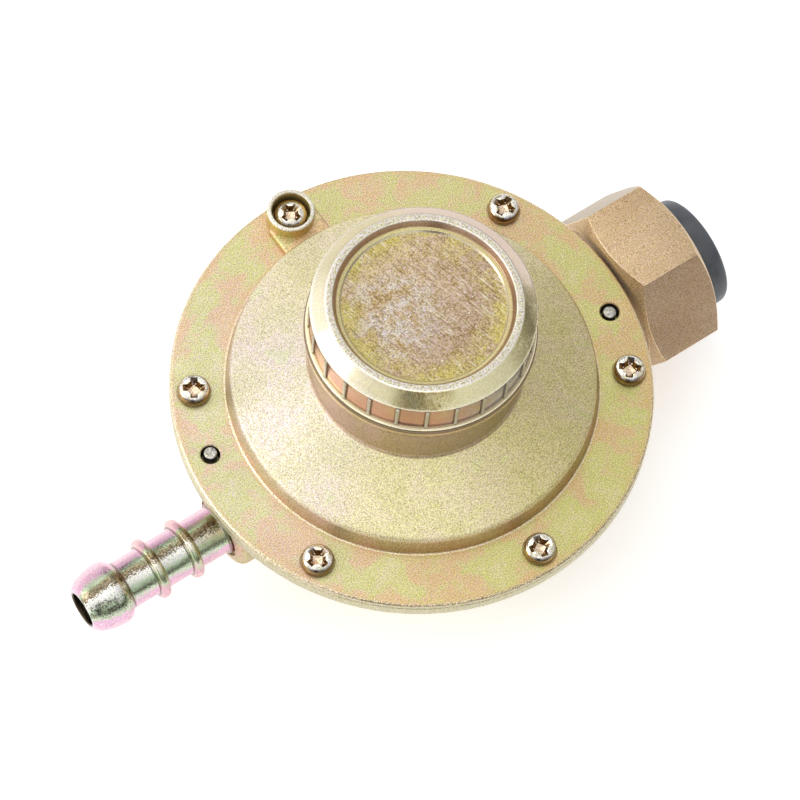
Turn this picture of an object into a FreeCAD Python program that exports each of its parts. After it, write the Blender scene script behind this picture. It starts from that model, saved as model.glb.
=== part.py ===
# Low-pressure gas regulator with a screw cap, a union nut on the inlet and a hose barb on the outlet.
#
# Frame: millimetres, +Z up along the axis of the diaphragm, +X along the inlet, so the union nut lies
# at +X and the hose barb at -X. The origin is the centre of the flat base.
# Every size is a cell of the sheet "dims"; pieces that fit each other read the same cells.

import FreeCAD, Part
import math
import os
import Sketcher
from FreeCAD import Vector

SIZES = [
    # Overall places
    ("axis_height", 18.0, "height of the inlet and outlet axis above the base"),
    ("flange_rise", 13.3, "cover flange's top face above the inlet axis"),
    # Fits
    ("seat_gap", 0.1, "gap between faces that bear on each other across a joint"),
    ("running_gap", 0.05, "radial clearance of a shaft that turns or slides"),
    ("thread_gap", 0.05, "radial clearance between a screwed piece and its tapped hole"),
    ("free_gap", 0.3, "clearance between pieces that move past each other"),
    # Cover
    ("cover_radius", 43.0, "outer radius of the cover's flange"),
    ("cover_side", 3.45, "height of the cover's side band"),
    ("cover_edge_round", 0.6, "rounding of the flange's top edge"),
    ("cover_flange", 2.2, "thickness of the cover's flange inside its skirt"),
    ("skirt_wall", 1.4, "wall of the skirt round the body's flange"),
    ("line_drop", 1.0, "depth of the fine line round the side band below the top face"),
    ("line_width", 0.4, "width of that line"),
    ("line_depth", 0.3, "how deep that line is cut"),
    ("step_margin", 10.0, "width of the flange outside the raised step"),
    ("step_draft", 0.5, "how far the step leans in from foot to top"),
    ("step_rise", 3.9, "height of the raised step"),
    ("step_round", 0.7, "rounding of the step's top edge"),
    ("cover_wall", 2.3, "wall of the cover's step"),
    ("cone_wall", 2.5, "thickness of the cover's cone, measured straight up"),
    ("cone_rise", 5.7, "rise of the cone from the step to the neck"),
    ("neck_radius", 18.9, "outer radius of the neck"),
    ("neck_foot_round", 2.0, "fillet where the neck stands on the cone"),
    ("neck_shoulder", 19.1, "height of the neck's shoulder above the flange"),
    ("neck_shoulder_width", 1.7, "width of the neck's shoulder"),
    ("neck_thread_length", 8.5, "length of the threaded end of the neck"),
    ("neck_wall", 2.3, "wall of the threaded end of the neck"),
    ("vent_radius", 1.0, "radius of the breather hole"),
    ("vent_margin", 8.5, "distance of the breather hole inside the step's foot"),
    ("vent_bearing", 47.0, "bearing of the breather hole, degrees from +X"),
    # Fasteners
    ("screw_margin", 4.3, "distance of the cover screws inside the flange's edge"),
    ("screw_count", 6, "screws round the cover, the one in the boss included"),
    ("screw_bearing", 30.0, "bearing of the first cover screw, degrees from +X"),
    ("screw_head_radius", 2.9, "radius of a pan head"),
    ("screw_head_height", 2.1, "height of a pan head"),
    ("screw_head_round", 0.8, "rounding of a pan head"),
    ("screw_shank", 1.45, "radius of a screw's shank"),
    ("screw_hole_gap", 0.2, "radial clearance of a screw in the cover"),
    ("screw_reach", 6.0, "how far a screw's end lies below the flange's top face"),
    ("cross_width", 1.3, "width of the cross recess"),
    ("cross_span", 3.7, "length of the cross recess"),
    ("cross_depth", 1.1, "depth of the cross recess"),
    ("pin_margin", 4.5, "distance of the locating pins inside the flange's edge"),
    ("pin_bearing", 168.4, "bearing of the first locating pin, degrees from +X"),
    ("pin_radius", 1.15, "radius of a locating pin"),
    ("pin_drop", 0.15, "locating pin's top below the flange's top face"),
    ("pin_edge", 0.2, "chamfer of a locating pin"),
    ("pin_hole_radius", 1.75, "radius of the open hole round a locating pin"),
    # Boss with the sunk screw
    ("boss_radius", 4.35, "outer radius of the tall boss"),
    ("boss_wall", 0.85, "wall of the tall boss"),
    ("boss_rise", 3.8, "height of the tall boss above the flange"),
    ("web_rise", 1.3, "height of the pad between the boss and the step"),
    ("web_margin", 0.5, "how far the pad is wider than the boss on each side"),
    # Lower body
    ("bowl_margin", 7.5, "distance of the bowl's top inside the cover's edge"),
    ("bowl_lean", 4.0, "how far the bowl narrows from its top to its lower bend"),
    ("bowl_bend", 8.0, "height of the bowl's lower bend"),
    ("base_lean", 5.5, "how far the bowl narrows from its bend to the flat base"),
    ("base_round", 1.5, "rounding of the base's edge"),
    ("bowl_wall", 3.1, "wall of the bowl, measured straight out"),
    ("body_flange", 3.2, "thickness of the body's flange"),
    ("body_flange_gap", 0.7, "gap between the body's flange and the skirt"),
    ("cavity_foot_margin", 1.0, "how far the cavity's floor ends inside the flat base"),
    ("cavity_bend_rise", 1.0, "the cavity's lower bend above the bowl's"),
    ("floor_thickness", 4.0, "thickness of the body's floor"),
    ("port_margin", 2.0, "the inlet and outlet bosses' faces inside the cover's edge"),
    ("port_root", 2.0, "how deep the outer bosses are rooted in the bowl's wall"),
    ("inlet_boss_radius", 8.8, "radius of the inlet boss"),
    ("outlet_boss_radius", 8.0, "radius of the outlet boss"),
    ("port_round", 1.6, "rounding of the bosses' outer edges"),
    ("passage_radius", 3.15, "radius of the gas passage"),
    ("inner_boss_radius", 6.2, "radius of the boss inside the cavity that holds the jet"),
    ("inner_boss_length", 5.0, "length of that boss"),
    # Guide and lever stand
    ("guide_space", 3.9, "space between the wall that guides the valve and the jet's boss"),
    ("guide_thickness", 3.2, "thickness of the wall that guides the valve"),
    ("guide_half_width", 6.0, "half width of that wall"),
    ("guide_top", 22.6, "top of that wall"),
    ("ear_inside", 2.0, "half distance between the lever stand's ears"),
    ("ear_thickness", 2.5, "thickness of an ear"),
    ("ear_length", 5.0, "length of an ear"),
    ("ear_top", 14.0, "top of an ear"),
    # Lever
    ("pivot_space", 2.4, "lever's pivot before the wall that guides the valve"),
    ("pivot_drop", 6.0, "lever's pivot below the inlet axis, the length of its short arm"),
    ("lever_pin_radius", 1.0, "radius of the lever's pin"),
    ("lever_hub_radius", 2.0, "radius of the lever's hub"),
    ("lever_sheet", 1.2, "thickness of the lever's arms"),
    ("lever_width", 3.0, "width of the lever"),
    ("lever_tip_radius", 0.9, "radius of the long arm's rounded end"),
    ("lever_head_radius", 1.2, "radius of the short arm's rounded head"),
    # Valve
    ("valve_radius", 3.5, "radius of the sliding valve"),
    ("valve_tail", 2.8, "how far the valve reaches back past the lever's pivot"),
    ("pad_radius", 2.8, "radius of the valve's rubber pad"),
    ("pad_thickness", 1.6, "thickness of the pad"),
    ("pad_proud", 0.7, "how far the pad stands out of the valve"),
    ("valve_slot_top", 2.2, "top of the lever's slot above the valve's axis"),
    ("lift_travel", 2.2, "travel of the diaphragm from open to closed"),
    # Inlet jet
    ("jet_nose_radius", 2.0, "radius of the jet's nose"),
    ("jet_nose_slope", 0.6, "how far the jet's nose narrows"),
    ("jet_bore", 1.1, "radius of the jet's orifice"),
    ("jet_flange_radius", 5.5, "radius of the jet's flange"),
    ("jet_flange", 1.1, "thickness of the jet's flange"),
    ("jet_thread_radius", 4.0, "radius of the jet's thread"),
    ("jet_thread_length", 5.3, "length of the jet's thread"),
    # Diaphragm and its plates
    ("rubber", 0.8, "thickness of the diaphragm"),
    ("rubber_margin", 0.8, "gap between the diaphragm's edge and the skirt"),
    ("dish_depth", 3.0, "how far the diaphragm's middle hangs below its rim"),
    ("dish_margin", 0.2, "how far inside the cover's wall the diaphragm starts to dip"),
    ("dish_slope", 5.0, "width of the diaphragm's slope"),
    ("lower_plate_radius", 14.0, "radius of the plate under the diaphragm"),
    ("plate_sheet", 1.0, "thickness of the plates"),
    ("spring_seat_margin", 3.0, "how far the plate above the diaphragm is inside its slope"),
    ("seat_spigot_rise", 2.0, "height of the spigot that centres the spring"),
    ("stem_thread_radius", 1.95, "radius of the stem's threaded end"),
    ("stem_shank_radius", 3.0, "radius of the stem's lower shank"),
    ("stem_collar_radius", 4.5, "radius of the stem's collar"),
    ("stem_collar", 1.5, "thickness of the stem's collar"),
    ("stem_bridge", 1.0, "thickness of the stem below the lever"),
    ("stem_tail", 0.8, "how far the stem stands out of its nut"),
    ("stem_nut_flats", 7.0, "across flats of the stem's nut"),
    ("stem_nut_height", 2.4, "height of the stem's nut"),
    # Main spring and its adjuster
    ("spring_mean_radius", 10.0, "mean radius of the main spring"),
    ("spring_wire", 1.8, "wire diameter of the main spring"),
    ("spring_turns", 5, "turns of the main spring"),
    ("top_plate_radius", 12.5, "radius of the plate above the spring"),
    ("top_plate_place", 12.6, "underside of that plate above the flange's top face"),
    ("top_plate", 1.2, "thickness of that plate"),
    ("adjuster_gap", 0.08, "radial clearance of the adjusting screw in the neck"),
    ("adjuster_height", 6.0, "height of the adjusting screw"),
    ("adjuster_socket", 10.0, "across flats of the adjusting screw's socket"),
    ("adjuster_socket_depth", 4.0, "depth of that socket"),
    # Screw cap
    ("cap_gap", 0.35, "gap between the cap and the neck's shoulder"),
    ("cap_collar_wall", 3.0, "how far the cap's lower collar is wider than the neck's thread"),
    ("cap_collar_rise", 3.9, "height of the cap's lower collar"),
    ("cap_collar_round", 0.9, "rounding under the cap's collar"),
    ("cap_collar_edge", 0.3, "rounding on top of the cap's collar"),
    ("cap_fine_edge", 0.15, "rounding of the cap's sharp edges"),
    ("cap_rim_round", 0.5, "rounding between the bevel and the flat rim"),
    ("cap_panel_step", 1.2, "how far the panels between the ribs lie inside the collar"),
    ("cap_panel_rise", 5.7, "height of the panels"),
    ("cap_edge_step", 0.8, "how far the bevel's lower edge lies inside the collar"),
    ("cap_bevel_fall", 2.1, "fall of the wide bevel"),
    ("cap_bevel_run", 2.45, "width of the wide bevel, seen from above"),
    ("cap_rim_width", 1.15, "width of the flat rim"),
    ("cap_dish_depth", 1.35, "depth of the recess in the cap's top"),
    ("cap_dish_lean", 0.4, "how far the recess's wall leans in"),
    ("cap_disc_margin", 1.25, "width of the ledge round the sunk disc"),
    ("cap_disc_depth", 0.3, "depth of the sunk disc"),
    ("cap_roof", 1.5, "thickness of the cap under the disc"),
    ("cap_rib_count", 24, "ribs round the cap"),
    ("cap_rib_width", 0.9, "width of a rib"),
    ("cap_rib_root", 0.4, "how deep a rib is rooted in the panels"),
    ("cap_rib_drop", 0.05, "a rib's face inside the bevel's edge"),
    ("cap_seal_height", 1.6, "height of the cap's sealing ring"),
    ("cap_seal_width", 1.3, "width of the cap's sealing ring"),
    # Inlet nipple, its seals and filter
    ("nipple_thread_radius", 7.0, "radius of the nipple's thread in the body"),
    ("nipple_thread_length", 9.3, "length of that thread"),
    ("washer_thickness", 0.7, "thickness of the washer under the nipple"),
    ("nipple_flange_radius", 8.4, "radius of the nipple's flange"),
    ("nipple_flange", 1.3, "thickness of the nipple's flange"),
    ("nipple_neck_radius", 6.3, "radius of the neck that the nut turns on"),
    ("nipple_neck_length", 3.8, "length of that neck"),
    ("nipple_collar_radius", 9.2, "radius of the collar that the nut pulls on"),
    ("nipple_collar", 1.5, "thickness of that collar"),
    ("filter_radius", 4.2, "radius of the filter's seat in the nipple"),
    ("filter_length", 3.5, "length of the filter"),
    ("filter_wall", 1.3, "wall of the filter"),
    ("gasket_thickness", 1.9, "thickness of the face gasket"),
    ("gasket_bore", 3.6, "radius of the face gasket's hole"),
    # Union nut
    ("nut_flats", 30.0, "across flats of the union nut"),
    ("nut_length", 15.2, "length of the union nut"),
    ("nut_rest_turn", -3.55, "how far the nut is turned in the rest pose, degrees"),
    ("nut_face_radius", 14.4, "radius of the nut's faces inside its chamfers"),
    ("nut_chamfer_angle", 30.0, "angle of the nut's chamfers, degrees"),
    ("nut_shoulder", 3.0, "thickness of the nut's inner shoulder"),
    ("nut_relief_radius", 10.3, "radius of the relief behind the thread"),
    ("nut_thread_radius", 9.74, "radius of the thread's crests"),
    ("nut_thread_length", 6.4, "length of the thread"),
    ("nut_mouth_radius", 10.6, "radius of the plain mouth"),
    # Protective plug
    ("plug_radius", 10.3, "radius of the plug in the nut's mouth"),
    ("plug_waist_radius", 9.85, "radius of the plug's waist outside the nut"),
    ("plug_waist_place", 0.2, "start of that waist outside the nut's face"),
    ("plug_waist_length", 2.0, "length of that waist"),
    ("plug_waist_start_slope", 0.3, "length of the slope down to the waist"),
    ("plug_waist_end_slope", 0.6, "length of the slope up from the waist"),
    ("plug_proud", 6.9, "how far the plug stands out of the nut"),
    ("plug_round", 1.3, "rounding of the plug's outer edge"),
    ("plug_wall", 2.0, "wall of the plug"),
    ("plug_draft", 0.3, "how far the plug's hollow narrows to its floor"),
    # Hose barb
    ("barb_length", 28.4, "length of the barb outside the outlet boss"),
    ("barb_pipe_radius", 4.55, "radius of the barb's pipe"),
    ("barb_tip_radius", 4.35, "radius of the tip's corner"),
    ("barb_bulb_radius", 5.82, "radius of the bulb"),
    ("barb_bulb_length", 8.9, "length of the bulb"),
    ("barb_bulb_taper", 5.0, "length of the bulb's slope from the tip"),
    ("barb_bulb_back", 1.3, "length of the bulb's slope back to the pipe"),
    ("barb_first_rib", 14.1, "distance of the outer rib's middle from the outlet boss"),
    ("barb_rib_spacing", 7.0, "distance between the ribs"),
    ("barb_rib_radius", 5.85, "radius of a rib"),
    ("barb_rib_width", 2.2, "width of a rib"),
    ("barb_rib_round", 0.8, "rounding of a rib"),
    ("barb_tip_round", 0.7, "rounding of the tip"),
    ("barb_slope_round", 5.0, "rounding between the bulb's slope and its crest"),
    ("barb_crest_round", 1.6, "rounding behind the bulb's crest"),
    ("barb_rib_lean", 0.2, "how far a rib's flanks lean"),
    ("barb_shank_radius", 5.0, "radius of the barb's screwed shank"),
    ("barb_shank_length", 7.7, "length of that shank"),
    ("barb_recess", 0.6, "depth of the recess round the pipe in the outlet boss"),
    ("barb_recess_margin", 0.6, "how far that recess is wider than the shank"),
    ("barb_seal", 0.8, "thickness of the seal at the end of the shank"),
]


class Size:
    """A number together with the sheet expression that it comes from."""

    def __init__(self, value, text):
        self.value = float(value)
        self.text = text

    def combine(self, other, sign, value):
        return Size(value, "(%s %s %s)" % (self.text, sign, as_size(other).text))

    def __add__(self, other):
        return self.combine(other, "+", self.value + as_size(other).value)

    def __radd__(self, other):
        return as_size(other) + self

    def __sub__(self, other):
        return self.combine(other, "-", self.value - as_size(other).value)

    def __rsub__(self, other):
        return as_size(other) - self

    def __mul__(self, other):
        return self.combine(other, "*", self.value * as_size(other).value)

    def __rmul__(self, other):
        return as_size(other) * self

    def __truediv__(self, other):
        return self.combine(other, "/", self.value / as_size(other).value)

    def __neg__(self):
        return Size(-self.value, "(0 - %s)" % self.text)


def as_size(number):
    if isinstance(number, Size):
        return number
    return Size(number, repr(float(number)))


def cos_of(angle):
    return Size(math.cos(math.radians(angle.value)), "cos(%s)" % angle.text)


def sin_of(angle):
    return Size(math.sin(math.radians(angle.value)), "sin(%s)" % angle.text)


def tan_of(angle):
    return Size(math.tan(math.radians(angle.value)), "tan(%s)" % angle.text)


class Dimensions:
    """The sheet of driving dimensions, read as attributes."""

    def __init__(self, document, rows):
        sheet = document.addObject("Spreadsheet::Sheet", "dims")
        for row, (name, value, meaning) in enumerate(rows, start=1):
            sheet.set("A%d" % row, name)
            sheet.set("B%d" % row, str(value))
            sheet.set("C%d" % row, meaning)
            sheet.setAlias("B%d" % row, name)
            setattr(self, name, Size(value, "dims.%s" % name))


doc = FreeCAD.newDocument("gas_regulator")
d = Dimensions(doc, SIZES)
doc.recompute()

zero = as_size(0)
NODES = []


# Shared helpers

def bind(obj, prop, size):
    obj.setExpression(prop, as_size(size).text)


def place(obj, x=None, y=None, z=None):
    """Puts a piece at a place given in sizes."""
    for letter, size in (("x", x), ("y", y), ("z", z)):
        if size is not None:
            bind(obj, "Placement.Base.%s" % letter, size)


def node(obj, name):
    """Names a finished sub-part, which is written to a file of that name."""
    obj.Label = name
    NODES.append(obj)
    return obj


def new_body(name):
    return doc.addObject("PartDesign::Body", name + "_body")


def new_sketch(body, role, across=None, up=None, out=None):
    """A sketch on one of the body's own planes, moved by sizes in the plane and out of it."""
    sketch = body.newObject("Sketcher::SketchObject", "outline")
    plane = [item for item in body.Origin.OriginFeatures if item.Role == role][0]
    sketch.AttachmentSupport = [(plane, "")]
    sketch.MapMode = "FlatFace"
    for letter, size in (("x", across), ("y", up), ("z", out)):
        if size is not None:
            bind(sketch, "AttachmentOffset.Base.%s" % letter, size)
    return sketch


def draw_circle(sketch, across, up, radius):
    centre = Vector(as_size(across).value, as_size(up).value, 0)
    ring = sketch.addGeometry(Part.Circle(centre, Vector(0, 0, 1), radius.value), False)
    pinned = [
        Sketcher.Constraint("DistanceX", -1, 1, ring, 3, centre.x),
        Sketcher.Constraint("DistanceY", -1, 1, ring, 3, centre.y),
        Sketcher.Constraint("Radius", ring, radius.value),
    ]
    for index, size in zip(sketch.addConstraint(pinned), (across, up, radius)):
        bind(sketch, "Constraints[%d]" % index, size)


def corner_points(before, corner, after, radius):
    """Where a rounding of a corner starts, its centre and where it ends."""
    back = (before - corner).normalize()
    ahead = (after - corner).normalize()
    half = back.getAngle(ahead) / 2
    reach = radius / math.tan(half)
    middle = (back + ahead).normalize()
    centre = corner + middle * (radius / math.sin(half))
    return corner + back * reach, centre, corner + ahead * reach


def draw_outline(sketch, corners):
    """A closed outline. Each corner is (across, up) or (across, up, rounding), all in sizes."""
    spots = [Vector(as_size(corner[0]).value, as_size(corner[1]).value, 0) for corner in corners]
    count = len(corners)
    starts = []
    ends = []
    roundings = []
    for i, corner in enumerate(corners):
        if len(corner) == 3:
            after = spots[(i + 1) % count]
            begin, centre, end = corner_points(spots[i - 1], spots[i], after, corner[2].value)
            roundings.append((i, begin, centre, end))
        else:
            begin = end = spots[i]
        ends.append(begin)
        starts.append(end)
    lines = [Part.LineSegment(starts[i], ends[(i + 1) % count]) for i in range(count)]
    sketch.addGeometry(lines, False)
    pins = []
    bound = []

    def pin(kind, geometry, point, size):
        pins.append(Sketcher.Constraint(kind, -1, 1, geometry, point, as_size(size).value))
        bound.append((len(pins) - 1, size))

    rounded = {}
    for i, begin, centre, end in roundings:
        turn = (begin - centre).cross(end - centre).z
        first, last = (begin, end) if turn > 0 else (end, begin)
        circle = Part.Circle(centre, Vector(0, 0, 1), corners[i][2].value)
        arc = Part.ArcOfCircle(circle, circle.parameter(first), circle.parameter(last))
        arc_index = sketch.addGeometry(arc, False)
        mark = sketch.addGeometry(Part.Point(spots[i]), True)
        rounded[i] = (arc_index, mark, 1 if turn > 0 else 2)
    for i, corner in enumerate(corners):
        before = (i - 1) % count
        if i in rounded:
            arc_index, mark, near = rounded[i]
            far = 3 - near
            pins.append(Sketcher.Constraint("Tangent", before, 2, arc_index, near))
            pins.append(Sketcher.Constraint("Tangent", i, 1, arc_index, far))
            pins.append(Sketcher.Constraint("Radius", arc_index, corner[2].value))
            bound.append((len(pins) - 1, corner[2]))
            pins.append(Sketcher.Constraint("PointOnObject", mark, 1, before))
            pins.append(Sketcher.Constraint("PointOnObject", mark, 1, i))
            pin("DistanceX", mark, 1, corner[0])
            pin("DistanceY", mark, 1, corner[1])
        else:
            pins.append(Sketcher.Constraint("Coincident", before, 2, i, 1))
            pin("DistanceX", i, 1, corner[0])
            pin("DistanceY", i, 1, corner[1])
    numbers = sketch.addConstraint(pins)
    for position, size in bound:
        bind(sketch, "Constraints[%d]" % numbers[position], size)


def feature(body, kind, sketch, name):
    made = body.newObject("PartDesign::" + kind, name)
    made.Profile = sketch
    return made


def revolve(body, corners, axis="Z", cut=False, up=None):
    """Turns an outline about the body's Z axis, or about a line along X at the height up."""
    sketch = new_sketch(body, "XZ_Plane", up=up)
    draw_outline(sketch, corners)
    made = feature(body, "Groove" if cut else "Revolution", sketch, "cut_round" if cut else "turned")
    made.ReferenceAxis = (sketch, ["V_Axis" if axis == "Z" else "H_Axis"])
    made.Angle = 360
    return made


def pad(body, sketch, length, both_ways=False):
    made = feature(body, "Pad", sketch, "pad")
    bind(made, "Length", length)
    made.Midplane = both_ways
    return made


def pocket(body, sketch, length, both_ways=False):
    """Cuts against the sketch's normal, or both ways from it."""
    made = feature(body, "Pocket", sketch, "pocket")
    bind(made, "Length", length)
    made.Midplane = both_ways
    return made


def ring_of(body, made, count):
    """Repeats a feature evenly about the body's Z axis."""
    pattern = body.newObject("PartDesign::PolarPattern", "ring")
    pattern.Originals = [made]
    pattern.Axis = (made.Profile[0], ["N_Axis"])
    pattern.Angle = 360
    bind(pattern, "Occurrences", count)
    made.Visibility = False
    body.Tip = pattern
    return pattern


def ring_of_holes(body, radius, circle, bearing, count, top, depth):
    """Round holes on a circle, cut down from the height top."""
    sketch = new_sketch(body, "XY_Plane", out=top)
    draw_circle(sketch, circle * cos_of(bearing), circle * sin_of(bearing), radius)
    return ring_of(body, pocket(body, sketch, depth), count)


def fastener_holes(body, screw_hole, pin_hole, top, depth):
    """The six screw holes and two pin holes that pass through the clamped flanges."""
    ring_of_holes(body, screw_hole, screw_circle, d.screw_bearing, d.screw_count, top, depth)
    ring_of_holes(body, pin_hole, pin_circle, d.pin_bearing, as_size(2), top, depth)


def turned_piece(name, corners, axis="Z", up=None):
    body = new_body(name)
    revolve(body, corners, axis, up=up)
    return node(body, name)


def hexagon(across_flats, turn):
    corner = across_flats / 2 / cos_of(as_size(180) / 6)
    return [(corner * cos_of(turn + 60.0 * i), corner * sin_of(turn + 60.0 * i)) for i in range(6)]


def box_corners(left, low, right, high):
    return [(left, low), (right, low), (right, high), (left, high)]


# Heights and places that several pieces share

axis_z = d.axis_height
flange_top = axis_z + d.flange_rise
screw_circle = d.cover_radius - d.screw_margin
pin_circle = d.cover_radius - d.pin_margin
step_radius = d.cover_radius - d.step_margin
neck_thread_radius = d.neck_radius - d.neck_shoulder_width
neck_bore = neck_thread_radius - d.neck_wall
roof_edge = step_radius - d.step_draft - d.cover_wall
vent_place = step_radius - d.vent_margin
clamp_face = flange_top - d.cover_flange
body_top = clamp_face - d.rubber
body_flange_foot = body_top - d.body_flange
skirt_inside = d.cover_radius - d.skirt_wall
step_top = flange_top + d.step_rise
cone_top = step_top + d.cone_rise
shoulder_z = flange_top + d.neck_shoulder
neck_end = shoulder_z + d.neck_thread_length
screw_end = flange_top - d.screw_reach
web_half = d.boss_radius + d.web_margin
bowl_top_radius = d.cover_radius - d.bowl_margin
bowl_radius = bowl_top_radius - d.bowl_lean
base_radius = bowl_radius - d.base_lean
cavity_radius = bowl_top_radius - d.bowl_wall
cavity_foot_radius = base_radius - d.cavity_foot_margin
port_reach = d.cover_radius - d.port_margin
port_root = bowl_radius - d.port_root
inner_boss_face = port_root - d.inner_boss_length
guide_end = inner_boss_face - d.guide_space
guide_start = guide_end - d.guide_thickness
pivot_place = guide_start - d.pivot_space
dish_outer = roof_edge - d.dish_margin
dish_inner = dish_outer - d.dish_slope
spring_seat_radius = dish_inner - d.spring_seat_margin
pivot_z = axis_z - d.pivot_drop
lift_ratio = d.pivot_drop / pivot_place
valve_travel = d.lift_travel * lift_ratio
valve_front = guide_end + d.free_gap
pad_face = valve_front + d.pad_proud
jet_tip = pad_face + valve_travel + d.seat_gap
dish_z = body_top - d.dish_depth
lower_plate_top = dish_z - d.seat_gap
lower_plate_foot = lower_plate_top - d.plate_sheet
spring_seat_foot = dish_z + d.rubber + d.seat_gap
spring_foot = spring_seat_foot + d.plate_sheet
spigot_radius = d.spring_mean_radius - d.spring_wire / 2 - d.free_gap
spigot_top = spring_foot + d.seat_spigot_rise
top_plate_foot = flange_top + d.top_plate_place
top_plate_top = top_plate_foot + d.top_plate
adjuster_foot = top_plate_top + d.seat_gap
nipple_face = port_reach + d.washer_thickness
nipple_neck = nipple_face + d.nipple_flange
nipple_collar_back = nipple_neck + d.nipple_neck_length
nipple_end = nipple_collar_back + d.nipple_collar
nut_inner = nipple_collar_back - d.free_gap - d.nut_shoulder
nut_outer = nut_inner + d.nut_length
nut_thread_start = nipple_end + d.gasket_thickness + d.seat_gap
nut_thread_end = nut_thread_start + d.nut_thread_length
plug_foot = nut_thread_end + d.free_gap


# Cover: a die-cast bonnet with a skirt, a step, a cone and a threaded neck

def cone_underside(radius):
    """Height of the cover's inner roof at a radius: the outer cone, lowered by its thickness."""
    slope = d.cone_rise / (step_radius - d.step_draft - d.neck_radius)
    return step_top + (step_radius - d.step_draft - radius) * slope - d.cone_wall


def make_cover():
    body = new_body("cover")
    line_z = flange_top - d.line_drop
    half_line = d.line_width / 2
    revolve(body, [
        (skirt_inside, flange_top - d.cover_side),
        (d.cover_radius, flange_top - d.cover_side),
        (d.cover_radius, line_z - half_line),
        (d.cover_radius - d.line_depth, line_z),
        (d.cover_radius, line_z + half_line),
        (d.cover_radius, flange_top, d.cover_edge_round),
        (step_radius, flange_top),
        (step_radius - d.step_draft, step_top, d.step_round),
        (d.neck_radius, cone_top, d.neck_foot_round),
        (d.neck_radius, shoulder_z),
        (neck_thread_radius, shoulder_z),
        (neck_thread_radius, neck_end),
        (neck_bore, neck_end),
        (neck_bore, cone_underside(neck_bore)),
        (roof_edge, cone_underside(roof_edge)),
        (roof_edge, clamp_face),
        (skirt_inside, clamp_face),
    ])
    web = new_sketch(body, "XY_Plane", out=flange_top)
    draw_outline(web, box_corners(-web_half, step_radius - d.cover_wall, web_half, screw_circle))
    pad(body, web, d.web_rise)
    boss = new_sketch(body, "XY_Plane", out=flange_top)
    draw_circle(boss, zero, screw_circle, d.boss_radius)
    pad(body, boss, d.boss_rise)
    well = new_sketch(body, "XY_Plane", out=flange_top + d.boss_rise)
    draw_circle(well, zero, screw_circle, d.boss_radius - d.boss_wall)
    pocket(body, well, d.boss_rise)
    fastener_holes(body, d.screw_shank + d.screw_hole_gap, d.pin_hole_radius, flange_top, d.cover_flange)
    vent = new_sketch(body, "XY_Plane", out=cone_top)
    vent_x = vent_place * cos_of(d.vent_bearing)
    vent_y = vent_place * sin_of(d.vent_bearing)
    draw_circle(vent, vent_x, vent_y, d.vent_radius)
    pocket(body, vent, d.cone_rise + d.step_rise)
    return node(body, "cover")


# Lower body: a bowl with an inlet boss, an outlet boss and the stand of the valve and lever

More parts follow.
